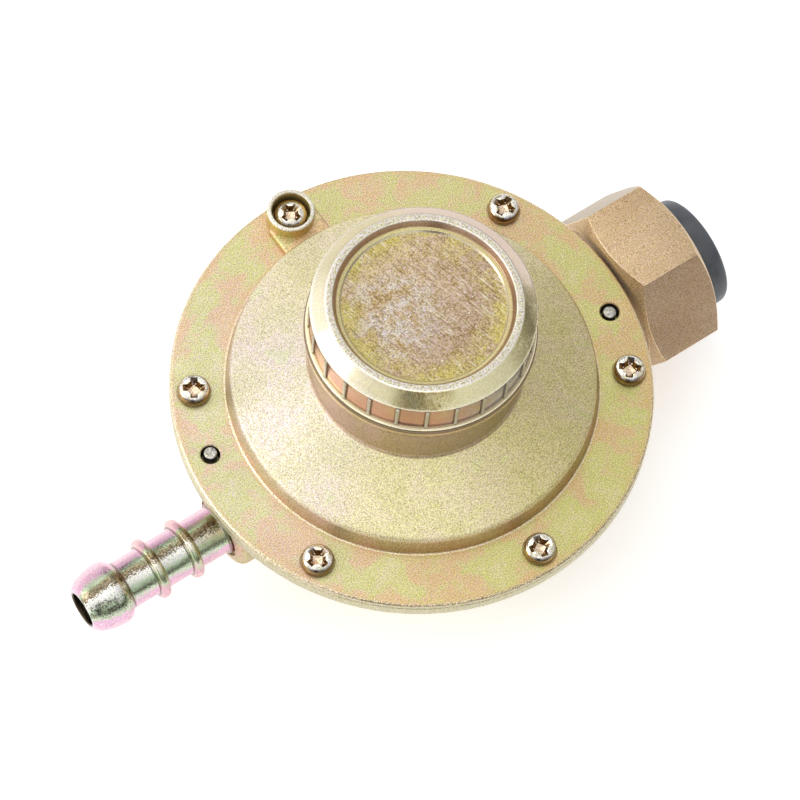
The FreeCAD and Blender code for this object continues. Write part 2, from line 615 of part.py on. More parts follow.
def make_lower_body():
    body = new_body("lower_body")
    flange_radius = skirt_inside - d.body_flange_gap
    revolve(body, [
        (zero, zero),
        (base_radius, zero, d.base_round),
        (bowl_radius, d.bowl_bend),
        (bowl_top_radius, body_flange_foot),
        (flange_radius, body_flange_foot),
        (flange_radius, body_top),
        (cavity_radius, body_top),
        (bowl_radius - d.bowl_wall, d.bowl_bend + d.cavity_bend_rise),
        (cavity_foot_radius, d.floor_thickness),
        (zero, d.floor_thickness),
    ])
    revolve(body, [
        (port_root, zero),
        (port_reach, zero),
        (port_reach, d.inlet_boss_radius, d.port_round),
        (port_root, d.inlet_boss_radius),
    ], "X", up=axis_z)
    revolve(body, [
        (-port_root, zero),
        (-port_root, d.outlet_boss_radius),
        (-port_reach, d.outlet_boss_radius, d.port_round),
        (-port_reach, zero),
    ], "X", up=axis_z)
    revolve(body, [
        (inner_boss_face, zero),
        (port_root, zero),
        (port_root, d.inner_boss_radius),
        (inner_boss_face, d.inner_boss_radius),
    ], "X", up=axis_z)
    wall = new_sketch(body, "XY_Plane", out=d.floor_thickness)
    draw_outline(wall, box_corners(guide_start, -d.guide_half_width, guide_end, d.guide_half_width))
    pad(body, wall, d.guide_top - d.floor_thickness)
    for side in (1, -1):
        ear = new_sketch(body, "XY_Plane", out=d.floor_thickness)
        middle = side * (d.ear_inside + d.ear_thickness / 2)
        low = middle - d.ear_thickness / 2
        draw_outline(ear, box_corners(guide_start - d.ear_length, low, guide_start, low + d.ear_thickness))
        pad(body, ear, d.ear_top - d.floor_thickness)
    pin_bore = new_sketch(body, "XZ_Plane")
    draw_circle(pin_bore, pivot_place, pivot_z, d.lever_pin_radius)
    pocket(body, pin_bore, 2 * (d.ear_inside + d.ear_thickness), both_ways=True)
    jet_bore_end = inner_boss_face + d.jet_thread_length + d.free_gap
    nipple_bore_start = port_reach - d.nipple_thread_length - d.free_gap
    thread_bore = d.jet_thread_radius + d.thread_gap
    nipple_bore = d.nipple_thread_radius + d.thread_gap
    revolve(body, [
        (inner_boss_face, zero),
        (port_reach, zero),
        (port_reach, nipple_bore),
        (nipple_bore_start, nipple_bore),
        (nipple_bore_start, d.passage_radius),
        (jet_bore_end, d.passage_radius),
        (jet_bore_end, thread_bore),
        (inner_boss_face, thread_bore),
    ], "X", cut=True, up=axis_z)
    guide_bore = d.valve_radius + d.running_gap
    revolve(body, [
        (guide_start, zero),
        (guide_end, zero),
        (guide_end, guide_bore),
        (guide_start, guide_bore),
    ], "X", cut=True, up=axis_z)
    shank_bore = d.barb_shank_radius + d.thread_gap
    recess_radius = d.barb_shank_radius + d.barb_recess_margin
    shank_end = -(port_reach - d.barb_recess - d.barb_shank_length - d.barb_seal)
    passage_end = -(cavity_foot_radius - d.floor_thickness)
    revolve(body, [
        (-port_reach, zero),
        (passage_end, zero),
        (passage_end, d.passage_radius),
        (shank_end, d.passage_radius),
        (shank_end, shank_bore),
        (-(port_reach - d.barb_recess), shank_bore),
        (-(port_reach - d.barb_recess), recess_radius),
        (-port_reach, recess_radius),
    ], "X", cut=True, up=axis_z)
    fastener_holes(body, d.screw_shank + d.thread_gap, d.pin_radius + d.thread_gap, body_top, d.body_flange)
    return node(body, "lower_body")


# Screws and locating pins

def make_screw(name, under_head, bearing):
    """A pan-head screw with a cross recess, its head's seat at the height under_head."""
    body = new_body(name)
    head_top = under_head + d.screw_head_height
    revolve(body, [
        (zero, screw_end),
        (d.screw_shank, screw_end),
        (d.screw_shank, under_head),
        (d.screw_head_radius, under_head),
        (d.screw_head_radius, head_top, d.screw_head_round),
        (zero, head_top),
    ])
    half_width = d.cross_width / 2
    half_span = d.cross_span / 2
    for across, along in ((half_span, half_width), (half_width, half_span)):
        arm = new_sketch(body, "XY_Plane", out=head_top)
        draw_outline(arm, box_corners(-across, -along, across, along))
        pocket(body, arm, d.cross_depth)
    place(body, x=screw_circle * cos_of(bearing), y=screw_circle * sin_of(bearing))
    return body


def make_group(name, bodies):
    group = doc.addObject("Part::Compound", name + "_group")
    group.Links = bodies
    return node(group, name)


def make_cover_screws():
    spacing = as_size(360) / d.screw_count
    bearings = [d.screw_bearing + spacing * i for i in range(int(d.screw_count.value))]
    plain = [bearing for bearing in bearings if abs(bearing.value - 90) > 1]
    screws = [make_screw("cover_screw", flange_top, bearing) for bearing in plain]
    return make_group("cover_screws", screws)


def make_boss_screw():
    body = make_screw("boss_screw", flange_top, as_size(90))
    return node(body, "boss_screw")


def make_dowel_pins():
    pins = []
    top = flange_top - d.pin_drop
    for bearing in (d.pin_bearing, d.pin_bearing + 180):
        body = new_body("dowel_pin")
        revolve(body, [
            (zero, body_flange_foot),
            (d.pin_radius, body_flange_foot),
            (d.pin_radius, top - d.pin_edge),
            (d.pin_radius - d.pin_edge, top),
            (zero, top),
        ])
        place(body, x=pin_circle * cos_of(bearing), y=pin_circle * sin_of(bearing))
        pins.append(body)
    return make_group("dowel_pins", pins)


# Diaphragm, its plates, stem and nut

def make_diaphragm():
    body = new_body("diaphragm")
    edge = skirt_inside - d.rubber_margin
    hole = d.stem_thread_radius + d.thread_gap
    revolve(body, [
        (hole, dish_z),
        (dish_inner, dish_z),
        (dish_outer, body_top),
        (edge, body_top),
        (edge, body_top + d.rubber),
        (dish_outer, body_top + d.rubber),
        (dish_inner, dish_z + d.rubber),
        (hole, dish_z + d.rubber),
    ])
    gap = d.screw_hole_gap
    fastener_holes(body, d.screw_shank + gap, d.pin_radius + gap, clamp_face, d.rubber)
    return node(body, "diaphragm")


def make_plates():
    hole = d.stem_thread_radius + d.thread_gap
    turned_piece("lower_plate", [
        (hole, lower_plate_foot),
        (d.lower_plate_radius, lower_plate_foot),
        (d.lower_plate_radius, lower_plate_top),
        (hole, lower_plate_top),
    ])
    turned_piece("spring_seat", [
        (hole, spring_seat_foot),
        (spring_seat_radius, spring_seat_foot),
        (spring_seat_radius, spring_foot),
        (spigot_radius, spring_foot),
        (spigot_radius, spigot_top),
        (hole, spigot_top),
    ])


def make_stem():
    body = new_body("diaphragm_stem")
    collar_foot = lower_plate_foot - d.stem_collar
    window_half = d.lever_tip_radius + d.free_gap
    window_foot = pivot_z - window_half
    revolve(body, [
        (zero, window_foot - d.stem_bridge),
        (d.stem_shank_radius, window_foot - d.stem_bridge),
        (d.stem_shank_radius, collar_foot),
        (d.stem_collar_radius, collar_foot),
        (d.stem_collar_radius, lower_plate_foot),
        (d.stem_thread_radius, lower_plate_foot),
        (d.stem_thread_radius, spigot_top + d.stem_nut_height + d.stem_tail),
        (zero, spigot_top + d.stem_nut_height + d.stem_tail),
    ])
    window = new_sketch(body, "YZ_Plane")
    half = d.lever_width / 2 + d.free_gap
    draw_outline(window, box_corners(-half, window_foot, half, pivot_z + window_half))
    pocket(body, window, 3 * d.stem_shank_radius, both_ways=True)
    return node(body, "diaphragm_stem")


def make_stem_nut():
    body = new_body("stem_nut")
    blank = new_sketch(body, "XY_Plane", out=spigot_top)
    draw_outline(blank, hexagon(d.stem_nut_flats, as_size(30)))
    pad(body, blank, d.stem_nut_height)
    bore = new_sketch(body, "XY_Plane", out=spigot_top + d.stem_nut_height)
    draw_circle(bore, zero, zero, d.stem_thread_radius + d.thread_gap)
    pocket(body, bore, d.stem_nut_height)
    return node(body, "stem_nut")


# Lever and its pin

def make_lever():
    body = new_body("lever")
    half_sheet = d.lever_sheet / 2

    def disc(across, up, radius):
        sketch = new_sketch(body, "XZ_Plane")
        draw_circle(sketch, across, up, radius)
        pad(body, sketch, d.lever_width, both_ways=True)

    def bar(left, low, right, high):
        sketch = new_sketch(body, "XZ_Plane")
        draw_outline(sketch, box_corners(left, low, right, high))
        pad(body, sketch, d.lever_width, both_ways=True)

    disc(pivot_place, pivot_z, d.lever_hub_radius)
    bar(zero, pivot_z - half_sheet, pivot_place, pivot_z + half_sheet)
    bar(pivot_place - half_sheet, pivot_z, pivot_place + half_sheet, axis_z)
    disc(zero, pivot_z, d.lever_tip_radius)
    disc(pivot_place, axis_z, d.lever_head_radius)
    bore = new_sketch(body, "XZ_Plane")
    draw_circle(bore, pivot_place, pivot_z, d.lever_pin_radius + d.running_gap)
    pocket(body, bore, 2 * d.lever_width, both_ways=True)
    return node(body, "lever")


def make_lever_pin():
    body = new_body("lever_pin")
    sketch = new_sketch(body, "XZ_Plane")
    draw_circle(sketch, pivot_place, pivot_z, d.lever_pin_radius)
    pad(body, sketch, 2 * (d.ear_inside + d.ear_thickness), both_ways=True)
    return node(body, "lever_pin")


# Valve, pad and jet

def make_valve():
    body = new_body("valve_plunger")
    pad_seat = pad_face - d.pad_thickness
    revolve(body, [
        (pivot_place - d.valve_tail, zero),
        (pad_seat, zero),
        (pad_seat, d.pad_radius),
        (valve_front, d.pad_radius),
        (valve_front, d.valve_radius),
        (pivot_place - d.valve_tail, d.valve_radius),
    ], "X", up=axis_z)
    slot = new_sketch(body, "XY_Plane", out=axis_z + d.valve_slot_top)
    half_long = d.lever_head_radius + d.free_gap
    half_wide = d.lever_width / 2 + d.free_gap
    slot_start = pivot_place - half_long
    slot_end = pivot_place + half_long
    draw_outline(slot, box_corners(slot_start, -half_wide, slot_end, half_wide))
    pocket(body, slot, d.valve_slot_top + 2 * d.valve_radius)
    node(body, "valve_plunger")
    turned_piece("valve_pad", [
        (pad_seat, zero),
        (pad_face, zero),
        (pad_face, d.pad_radius),
        (pad_seat, d.pad_radius),
    ], "X", up=axis_z)


def make_jet():
    flange_start = inner_boss_face - d.jet_flange
    end = inner_boss_face + d.jet_thread_length
    return turned_piece("inlet_jet", [
        (jet_tip, d.jet_bore),
        (end, d.jet_bore),
        (end, d.jet_thread_radius),
        (inner_boss_face, d.jet_thread_radius),
        (inner_boss_face, d.jet_flange_radius),
        (flange_start, d.jet_flange_radius),
        (flange_start, d.jet_nose_radius),
        (jet_tip, d.jet_nose_radius - d.jet_nose_slope),
    ], "X", up=axis_z)


# Main spring, the plate above it and the adjusting screw

def make_top_plate():
    return turned_piece("spring_top_plate", [
        (zero, top_plate_foot - d.seat_spigot_rise),
        (spigot_radius, top_plate_foot - d.seat_spigot_rise),
        (spigot_radius, top_plate_foot),
        (d.top_plate_radius, top_plate_foot),
        (d.top_plate_radius, top_plate_top),
        (zero, top_plate_top),
    ])


def make_adjuster():
    body = new_body("adjusting_screw")
    radius = neck_bore - d.adjuster_gap
    top = adjuster_foot + d.adjuster_height
    revolve(body, [
        (zero, adjuster_foot),
        (radius, adjuster_foot),
        (radius, top),
        (zero, top),
    ])
    socket = new_sketch(body, "XY_Plane", out=top)
    draw_outline(socket, hexagon(d.adjuster_socket, as_size(0)))
    pocket(body, socket, d.adjuster_socket_depth)
    return node(body, "adjusting_screw")


def quarter_arc(radius, start_turn, start_height, rise):
    """An arc in space that follows a quarter turn of a coil."""
    def spot(share):
        angle = math.radians(start_turn + 90 * share)
        return Vector(radius * math.cos(angle), radius * math.sin(angle), start_height + rise * share)
    return Part.Arc(spot(0), spot(0.5), spot(1)).toShape()


def make_spring():
    """A round-wire coil between the spring seat and the plate above it."""
    radius = d.spring_mean_radius.value
    wire = d.spring_wire.value
    foot = spring_foot.value + wire / 2 + d.seat_gap.value
    length = top_plate_foot.value - d.seat_gap.value - wire / 2 - foot
    quarters = int(round(d.spring_turns.value * 4))
    rise = length / quarters
    arcs = [quarter_arc(radius, 90 * i, foot + rise * i, rise) for i in range(quarters)]
    path = Part.Wire(arcs)
    start = arcs[0].valueAt(arcs[0].FirstParameter)
    heading = arcs[0].tangentAt(arcs[0].FirstParameter)
    section = Part.Wire(Part.makeCircle(wire / 2, start, heading))
    shape = path.makePipeShell([section], True, False)
    least = least_self_gap(radius, rise * 4, wire, quarters / 4)
    print("main spring: %.1f turns, least gap between turns %.2f mm" % (quarters / 4, least))
    spring = doc.addObject("Part::Feature", "main_spring_coil")
    spring.Shape = shape
    return node(spring, "main_spring")


def least_self_gap(radius, pitch, wire, turns):
    """Least gap between the wire's surfaces a full turn or so apart, measured on points along it."""
    steps = 48
    count = int(turns * steps)
    points = []
    for i in range(count + 1):
        angle = 2 * math.pi * i / steps
        points.append(Vector(radius * math.cos(angle), radius * math.sin(angle), pitch * i / steps))
    half_turn = steps // 2
    gaps = [
        points[i].distanceToPoint(points[j]) - wire
        for i in range(count + 1)
        for j in range(i + half_turn, min(i + 2 * steps, count + 1))
    ]
    return min(gaps)


# Screw cap and its sealing ring

def make_cap():
    body = new_body("screw_cap")
    foot = shoulder_z + d.cap_gap
    collar_top = foot + d.cap_collar_rise
    panel_top = collar_top + d.cap_panel_rise
    rim_z = panel_top + d.cap_bevel_fall
    collar_radius = neck_thread_radius + d.cap_collar_wall
    panel_radius = collar_radius - d.cap_panel_step
    edge_radius = collar_radius - d.cap_edge_step
    rim_radius = edge_radius - d.cap_bevel_run
    dish_top_radius = rim_radius - d.cap_rim_width
    dish_foot_radius = dish_top_radius - d.cap_dish_lean
    disc_radius = dish_foot_radius - d.cap_disc_margin
    dish_z_low = rim_z - d.cap_dish_depth
    disc_z = dish_z_low - d.cap_disc_depth
    seal_bore = neck_thread_radius + d.cap_seal_width + 2 * d.seat_gap
    seal_roof = shoulder_z + d.cap_seal_height + d.seat_gap
    thread_bore = neck_thread_radius + d.free_gap
    roof = disc_z - d.cap_roof
    revolve(body, [
        (seal_bore, foot),
        (collar_radius, foot, d.cap_collar_round),
        (collar_radius, collar_top, d.cap_collar_edge),
        (panel_radius, collar_top),
        (panel_radius, panel_top),
        (edge_radius, panel_top, d.cap_fine_edge),
        (rim_radius, rim_z, d.cap_rim_round),
        (dish_top_radius, rim_z, d.cap_fine_edge),
        (dish_foot_radius, dish_z_low),
        (disc_radius, dish_z_low),
        (disc_radius, disc_z),
        (zero, disc_z),
        (zero, roof),
        (thread_bore, roof),
        (thread_bore, seal_roof),
        (seal_bore, seal_roof),
    ])
    rib = new_sketch(body, "XY_Plane", out=collar_top)
    half = d.cap_rib_width / 2
    root = panel_radius - d.cap_rib_root
    draw_outline(rib, box_corners(root, -half, edge_radius - d.cap_rib_drop, half))
    ring_of(body, pad(body, rib, d.cap_panel_rise), d.cap_rib_count)
    return node(body, "screw_cap")


def make_cap_seal():
    inside = neck_thread_radius + d.seat_gap
    outside = inside + d.cap_seal_width
    top = shoulder_z + d.cap_seal_height
    return turned_piece("cap_seal", box_corners(inside, shoulder_z, outside, top))


# Inlet nipple with its washer, filter and face gasket

def make_nipple():
    thread_start = port_reach - d.nipple_thread_length
    filter_seat = nipple_end - d.filter_length - d.seat_gap
    turned_piece("inlet_nipple", [
        (thread_start, d.passage_radius),
        (filter_seat, d.passage_radius),
        (filter_seat, d.filter_radius),
        (nipple_end, d.filter_radius),
        (nipple_end, d.nipple_collar_radius),
        (nipple_collar_back, d.nipple_collar_radius),
        (nipple_collar_back, d.nipple_neck_radius),
        (nipple_neck, d.nipple_neck_radius),
        (nipple_neck, d.nipple_flange_radius),
        (nipple_face, d.nipple_flange_radius),
        (nipple_face, d.nipple_thread_radius),
        (thread_start, d.nipple_thread_radius),
    ], "X", up=axis_z)
    washer_bore = d.nipple_thread_radius + d.seat_gap
    washer = box_corners(port_reach, washer_bore, nipple_face, d.nipple_flange_radius)
    turned_piece("nipple_washer", washer, "X", up=axis_z)
    filter_outside = d.filter_radius - d.thread_gap
    filter_end = filter_seat + d.filter_length
    turned_piece("inlet_filter", [
        (filter_seat, filter_outside - d.filter_wall),
        (filter_end - d.filter_wall, filter_outside - d.filter_wall),
        (filter_end - d.filter_wall, zero),
        (filter_end, zero),
        (filter_end, filter_outside),
        (filter_seat, filter_outside),
    ], "X", up=axis_z)
    gasket_end = nipple_end + d.gasket_thickness
    gasket = box_corners(nipple_end, d.gasket_bore, gasket_end, d.nipple_collar_radius)
    turned_piece("nose_gasket", gasket, "X", up=axis_z)


# Union nut and the plug in its mouth

def make_union_nut():
    body = new_body("union_nut")
    blank = new_sketch(body, "YZ_Plane", up=axis_z, out=nut_inner)
    draw_outline(blank, hexagon(d.nut_flats, d.nut_rest_turn))
    pad(body, blank, d.nut_length)
    outside = d.nut_flats * 0.65
    chamfer = (outside - d.nut_face_radius) * tan_of(d.nut_chamfer_angle)
    revolve(body, [
        (nut_outer, d.nut_face_radius),
        (nut_outer, outside),
        (nut_outer - chamfer, outside),
    ], "X", cut=True, up=axis_z)
    revolve(body, [
        (nut_inner, d.nut_face_radius),
        (nut_inner + chamfer, outside),
        (nut_inner, outside),
    ], "X", cut=True, up=axis_z)
    neck_bore = d.nipple_neck_radius + d.free_gap
    shoulder_end = nut_inner + d.nut_shoulder
    revolve(body, [
        (nut_inner, zero),
        (nut_outer, zero),
        (nut_outer, d.nut_mouth_radius),
        (nut_thread_end, d.nut_mouth_radius),
        (nut_thread_end, d.nut_thread_radius),
        (nut_thread_start, d.nut_thread_radius),
        (nut_thread_start, d.nut_relief_radius),
        (shoulder_end, d.nut_relief_radius),
        (shoulder_end, neck_bore),
        (nut_inner, neck_bore),
    ], "X", cut=True, up=axis_z)
    return node(body, "union_nut")


def make_plug():
    waist_start = nut_outer + d.plug_waist_place
    waist_end = waist_start + d.plug_waist_length
    end = nut_outer + d.plug_proud
    floor = plug_foot + d.plug_wall
    cup = d.plug_radius - d.plug_wall
    return turned_piece("protective_plug", [
        (plug_foot, zero),
        (floor, zero),
        (floor, cup - d.plug_draft),
        (end, cup),
        (end, d.plug_radius, d.plug_round),
        (waist_end + d.plug_waist_end_slope, d.plug_radius),
        (waist_end, d.plug_waist_radius),
        (waist_start + d.plug_waist_start_slope, d.plug_waist_radius),
        (waist_start, d.plug_radius),
        (plug_foot, d.plug_radius),
    ], "X", up=axis_z)


# Hose barb and its seal

def rib_corners(middle):
    half = d.barb_rib_width / 2
    top_half = half - d.barb_rib_lean
    return [
        (middle - half, d.barb_pipe_radius),
        (middle - top_half, d.barb_rib_radius, d.barb_rib_round),
        (middle + top_half, d.barb_rib_radius, d.barb_rib_round),
        (middle + half, d.barb_pipe_radius),
    ]


def make_barb():
    tip = -(port_reach + d.barb_length)
    bulb_end = tip + d.barb_bulb_length
    recess = -(port_reach - d.barb_recess)
    shank_end = recess + d.barb_shank_length
    outer_rib = -(port_reach + d.barb_first_rib)
    corners = [
        (tip, d.passage_radius),
        (tip, d.barb_tip_radius, d.barb_tip_round),
        (tip + d.barb_bulb_taper, d.barb_bulb_radius, d.barb_slope_round),
        (bulb_end - d.barb_bulb_back, d.barb_bulb_radius, d.barb_crest_round),
        (bulb_end, d.barb_pipe_radius),
    ]
    corners += rib_corners(outer_rib)
    corners += rib_corners(outer_rib + d.barb_rib_spacing)
    corners += [
        (recess, d.barb_pipe_radius),
        (recess, d.barb_shank_radius),
        (shank_end, d.barb_shank_radius),
        (shank_end, d.passage_radius),
    ]
    turned_piece("hose_barb", corners, "X", up=axis_z)
    seal_end = shank_end + d.barb_seal
    seal_bore = d.passage_radius + d.free_gap
    seal_radius = d.barb_shank_radius - d.thread_gap
    turned_piece("barb_seal", box_corners(shank_end, seal_bore, seal_end, seal_radius), "X", up=axis_z)


def make_all():
    make_lower_body()
    make_cover()
    make_cover_screws()
    make_boss_screw()
    make_dowel_pins()
    make_diaphragm()
    make_plates()
    make_stem()
    make_stem_nut()
    make_lever()
    make_lever_pin()
    make_valve()
    make_jet()
    make_spring()
    make_top_plate()
    make_adjuster()
    make_cap()
    make_cap_seal()
    make_nipple()
    make_union_nut()
    make_plug()
    make_barb()


def check_and_write():
    doc.recompute()
    for obj in doc.Objects:
        if "Invalid" in obj.State or "Error" in obj.State:
            raise RuntimeError("%s failed: %s" % (obj.Label, obj.State))
    os.makedirs("parts", exist_ok=True)
    for obj in NODES:
        shape = obj.Shape
        if shape.isNull() or not shape.isValid():
            raise RuntimeError("%s has no valid shape" % obj.Label)
        shape.exportStep("parts/%s.step" % obj.Label)
        box = shape.BoundBox
        print("%-18s %d solids %9.1f mm3  x %.1f..%.1f  y %.1f..%.1f  z %.1f..%.1f" % (
            obj.Label, len(shape.Solids), shape.Volume,
            box.XMin, box.XMax, box.YMin, box.YMax, box.ZMin, box.ZMax))


make_all()
check_and_write()
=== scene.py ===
# %% [markdown]
# A low-pressure gas regulator, seen from above: a round die-cast body with a yellow chromate finish,
# a ribbed screw cap, a blasted union nut with a plug in it, and a plated hose barb.
# The CAD model gives the frame: every size here is in its millimetres, and every piece rides on one of
# its bodies, so the cap unscrews, the nut turns and the plug pulls out.

# %% Load the frame
import math

import bmesh
import bpy
from mathutils import Matrix, Vector


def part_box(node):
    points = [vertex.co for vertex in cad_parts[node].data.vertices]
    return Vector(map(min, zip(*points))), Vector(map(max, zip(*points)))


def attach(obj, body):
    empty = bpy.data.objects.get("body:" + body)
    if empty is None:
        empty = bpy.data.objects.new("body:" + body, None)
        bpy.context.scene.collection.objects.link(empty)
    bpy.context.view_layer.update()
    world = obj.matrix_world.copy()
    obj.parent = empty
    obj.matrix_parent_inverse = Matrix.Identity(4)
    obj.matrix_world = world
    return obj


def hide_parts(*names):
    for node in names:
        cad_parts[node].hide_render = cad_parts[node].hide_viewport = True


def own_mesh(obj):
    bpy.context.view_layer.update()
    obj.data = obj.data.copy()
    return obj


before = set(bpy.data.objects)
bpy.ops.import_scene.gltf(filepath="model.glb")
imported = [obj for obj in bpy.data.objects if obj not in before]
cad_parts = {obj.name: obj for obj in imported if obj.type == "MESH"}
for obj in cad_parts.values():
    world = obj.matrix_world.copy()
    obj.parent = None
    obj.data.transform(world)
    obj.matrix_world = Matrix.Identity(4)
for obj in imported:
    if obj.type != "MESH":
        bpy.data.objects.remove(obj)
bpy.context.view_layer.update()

# %% [markdown]
# The camera stands where the photographer's did. It was found once, from the ellipses of the flange and
# cap and the edges of the nut, so the finished render can be laid over the photograph. A long lens keeps
# the shapes nearly parallel.

# %% Camera
MM = 0.001
CAMERA_PLACE = Vector((-200.70, -218.65, 633.0)) * MM
CAMERA_RIGHT = Vector((0.82014, -0.56865, 0.06320))
CAMERA_UP = Vector((0.49079, 0.75598, 0.43315))
CAMERA_BACK = Vector((-0.29409, -0.32423, 0.89910))
CAMERA_LENS = 170.68

camera_data = bpy.data.cameras.new("camera")
camera_data.lens = CAMERA_LENS
camera_data.sensor_width = 36
camera = bpy.data.objects.new("camera", camera_data)
scene = bpy.context.scene
scene.collection.objects.link(camera)
turn = Matrix((CAMERA_RIGHT, CAMERA_UP, CAMERA_BACK)).transposed()
camera.matrix_world = Matrix.Translation(CAMERA_PLACE) @ turn.to_4x4()
scene.camera = camera
print("camera at", [round(value, 3) for value in CAMERA_PLACE])

# %% [markdown]
# Most pieces of a regulator are turned or cast round, so the main tool is a small lathe: a line of edges
# is drawn by extruding a point, its corners are rounded with a vertex bevel, and it is spun about an
# axis. A spin keeps even rings of faces, which shade better than a boolean of cylinders would.

# %% Small helpers and the lathe
AXES = {"Z": (0, 0, 1), "X": (1, 0, 0)}
MIDDLE = (0, 0, 0)
ROUND_STEPS = 5
HELIX_STEPS = 72
SAME_PLACE = 1e-7
WELD = 2e-6


def rest():
    """Leaves edit mode and selects nothing."""
    if bpy.context.object and bpy.context.object.mode != "OBJECT":
        bpy.ops.object.mode_set(mode="OBJECT")
    bpy.ops.object.select_all(action="DESELECT")


def only(piece):
    """Makes a piece the only one selected, and active."""
    rest()
    piece.select_set(True)
    bpy.context.view_layer.objects.active = piece


def edit(piece):
    """Opens a piece in edit mode with all of its vertices selected."""
    only(piece)
    bpy.ops.object.mode_set(mode="EDIT")
    bpy.ops.mesh.select_mode(type="VERT")
    bpy.ops.mesh.select_all(action="SELECT")


def pick(piece, kind, test):
    """Selects, in edit mode, the verts or faces for which the test is true."""
    mesh = bmesh.from_edit_mesh(piece.data)
    bpy.ops.mesh.select_mode(type={"verts": "VERT", "faces": "FACE"}[kind])
    bpy.ops.mesh.select_all(action="DESELECT")
    for part in getattr(mesh, kind):
        if test(part):
            part.select_set(True)
    mesh.select_flush_mode()
    bmesh.update_edit_mesh(piece.data)


def smooth(piece, degrees=32):
    """Shades a piece smooth, with its sharper edges kept."""
    only(piece)
    bpy.ops.object.shade_smooth_by_angle(angle=math.radians(degrees))


def report(piece):
    piece.data.calc_loop_triangles()
    print(piece.name, len(piece.data.loop_triangles), "triangles")


def applied(piece, kind, **settings):
    """Gives a piece a modifier and applies it."""
    step = piece.modifiers.new("step", kind)
    for key, value in settings.items():
        setattr(step, key, value)
    only(piece)
    bpy.ops.object.modifier_apply(modifier=step.name)


def outline(name, corners, closed=False):
    """A line of edges through corners (across, up) in the XZ plane, left in edit mode."""
    rest()
    bpy.ops.mesh.primitive_plane_add(size=MM)
    piece = bpy.context.object
    piece.name = name
    edit(piece)
    bpy.ops.mesh.merge(type="CENTER")
    places = [Vector((corner[0], 0, corner[1])) * MM for corner in corners]
    bpy.ops.transform.translate(value=places[0])
    for before, after in zip(places, places[1:]):
        bpy.ops.mesh.extrude_region_move(TRANSFORM_OT_translate={"value": after - before})
    if closed:
        ends = (places[0], places[-1])
        pick(piece, "verts", lambda vert: min((vert.co - end).length for end in ends) < SAME_PLACE)
        bpy.ops.mesh.edge_face_add()
    return piece


def turned(name, corners, axis="Z", steps=160, closed=False, lift=0, aside=(0, 0)):
    """A turned piece. Each corner is (across, up) or (across, up, rounding) in millimetres.

    For the axis Z, across is the radius. For the axis X, across runs along X and up is the radius.
    The rounding is how far from the corner it starts. A closed outline makes a ring.
    """
    piece = outline(name, corners, closed)
    for corner in corners:
        if len(corner) == 3:
            place = Vector((corner[0], 0, corner[1])) * MM
            pick(piece, "verts", lambda vert: (vert.co - place).length < SAME_PLACE)
            bpy.ops.mesh.bevel(offset=corner[2] * MM, segments=ROUND_STEPS, affect="VERTICES")
    bpy.ops.mesh.select_all(action="SELECT")
    bpy.ops.mesh.spin(steps=steps, angle=2 * math.pi, center=MIDDLE, axis=AXES[axis])
    bpy.ops.mesh.select_all(action="SELECT")
    bpy.ops.mesh.remove_doubles(threshold=WELD)
    bpy.ops.mesh.normals_make_consistent(inside=False)
    bpy.ops.transform.translate(value=Vector((aside[0], aside[1], lift)) * MM)
    rest()
    smooth(piece)
    return piece


def block(name, low, high, soften=0):
    """A box between two corners in millimetres, its edges softened."""
    rest()
    low = Vector(low) * MM
    high = Vector(high) * MM
    bpy.ops.mesh.primitive_cube_add(size=1)
    piece = bpy.context.object
    piece.name = name
    edit(piece)
    bpy.ops.transform.resize(value=high - low)
    bpy.ops.transform.translate(value=(low + high) / 2)
    if soften:
        bpy.ops.mesh.bevel(offset=soften * MM, segments=3, affect="EDGES")
    rest()
    return piece


def combine(piece, tool, how):
    """Joins a tool to a piece, cuts it out of it, or keeps what both share."""
    applied(piece, "BOOLEAN", operation=how, solver="EXACT", object=tool)
    bpy.data.objects.remove(tool)


def soften_edges(piece, width, degrees):
    """Bevels the edges that turn by more than an angle. The width is in millimetres."""
    applied(piece, "BEVEL", width=width * MM, segments=2, limit_method="ANGLE", angle_limit=math.radians(degrees))


def copied(piece, name, move=MIDDLE, turn=0):
    """A copy with its own mesh, turned about Z by degrees and then moved in millimetres."""
    only(piece)
    bpy.ops.object.duplicate(linked=False)
    twin = bpy.context.object
    twin.name = name
    twin.rotation_euler = (0, 0, math.radians(turn))
    twin.location = Vector(move) * MM
    bpy.ops.object.transform_apply(location=True, rotation=True, scale=True)
    rest()
    return twin


def joined(name, pieces):
    """Several loose shells as one piece."""
    only(pieces[0])
    for piece in pieces[1:]:
        piece.select_set(True)
    bpy.ops.object.join()
    pieces[0].name = name
    rest()
    return pieces[0]


def round_spot(bearing, radius):
    """A place on a circle, in millimetres."""
    angle = math.radians(bearing)
    return radius * math.cos(angle), radius * math.sin(angle)


def finished(piece, body, slot, *nodes):
    """Hands a piece to the frame: its body and any CAD nodes it stands for. The slot is not used."""
    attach(piece, body)
    if nodes:
        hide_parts(*nodes)
    report(piece)


def ridge(foot_radius, tip_radius, start, pitch):
    """The narrow triangle of a thread."""
    half = pitch * 0.36
    return [(foot_radius, start - half), (tip_radius, start), (foot_radius, start + half)]


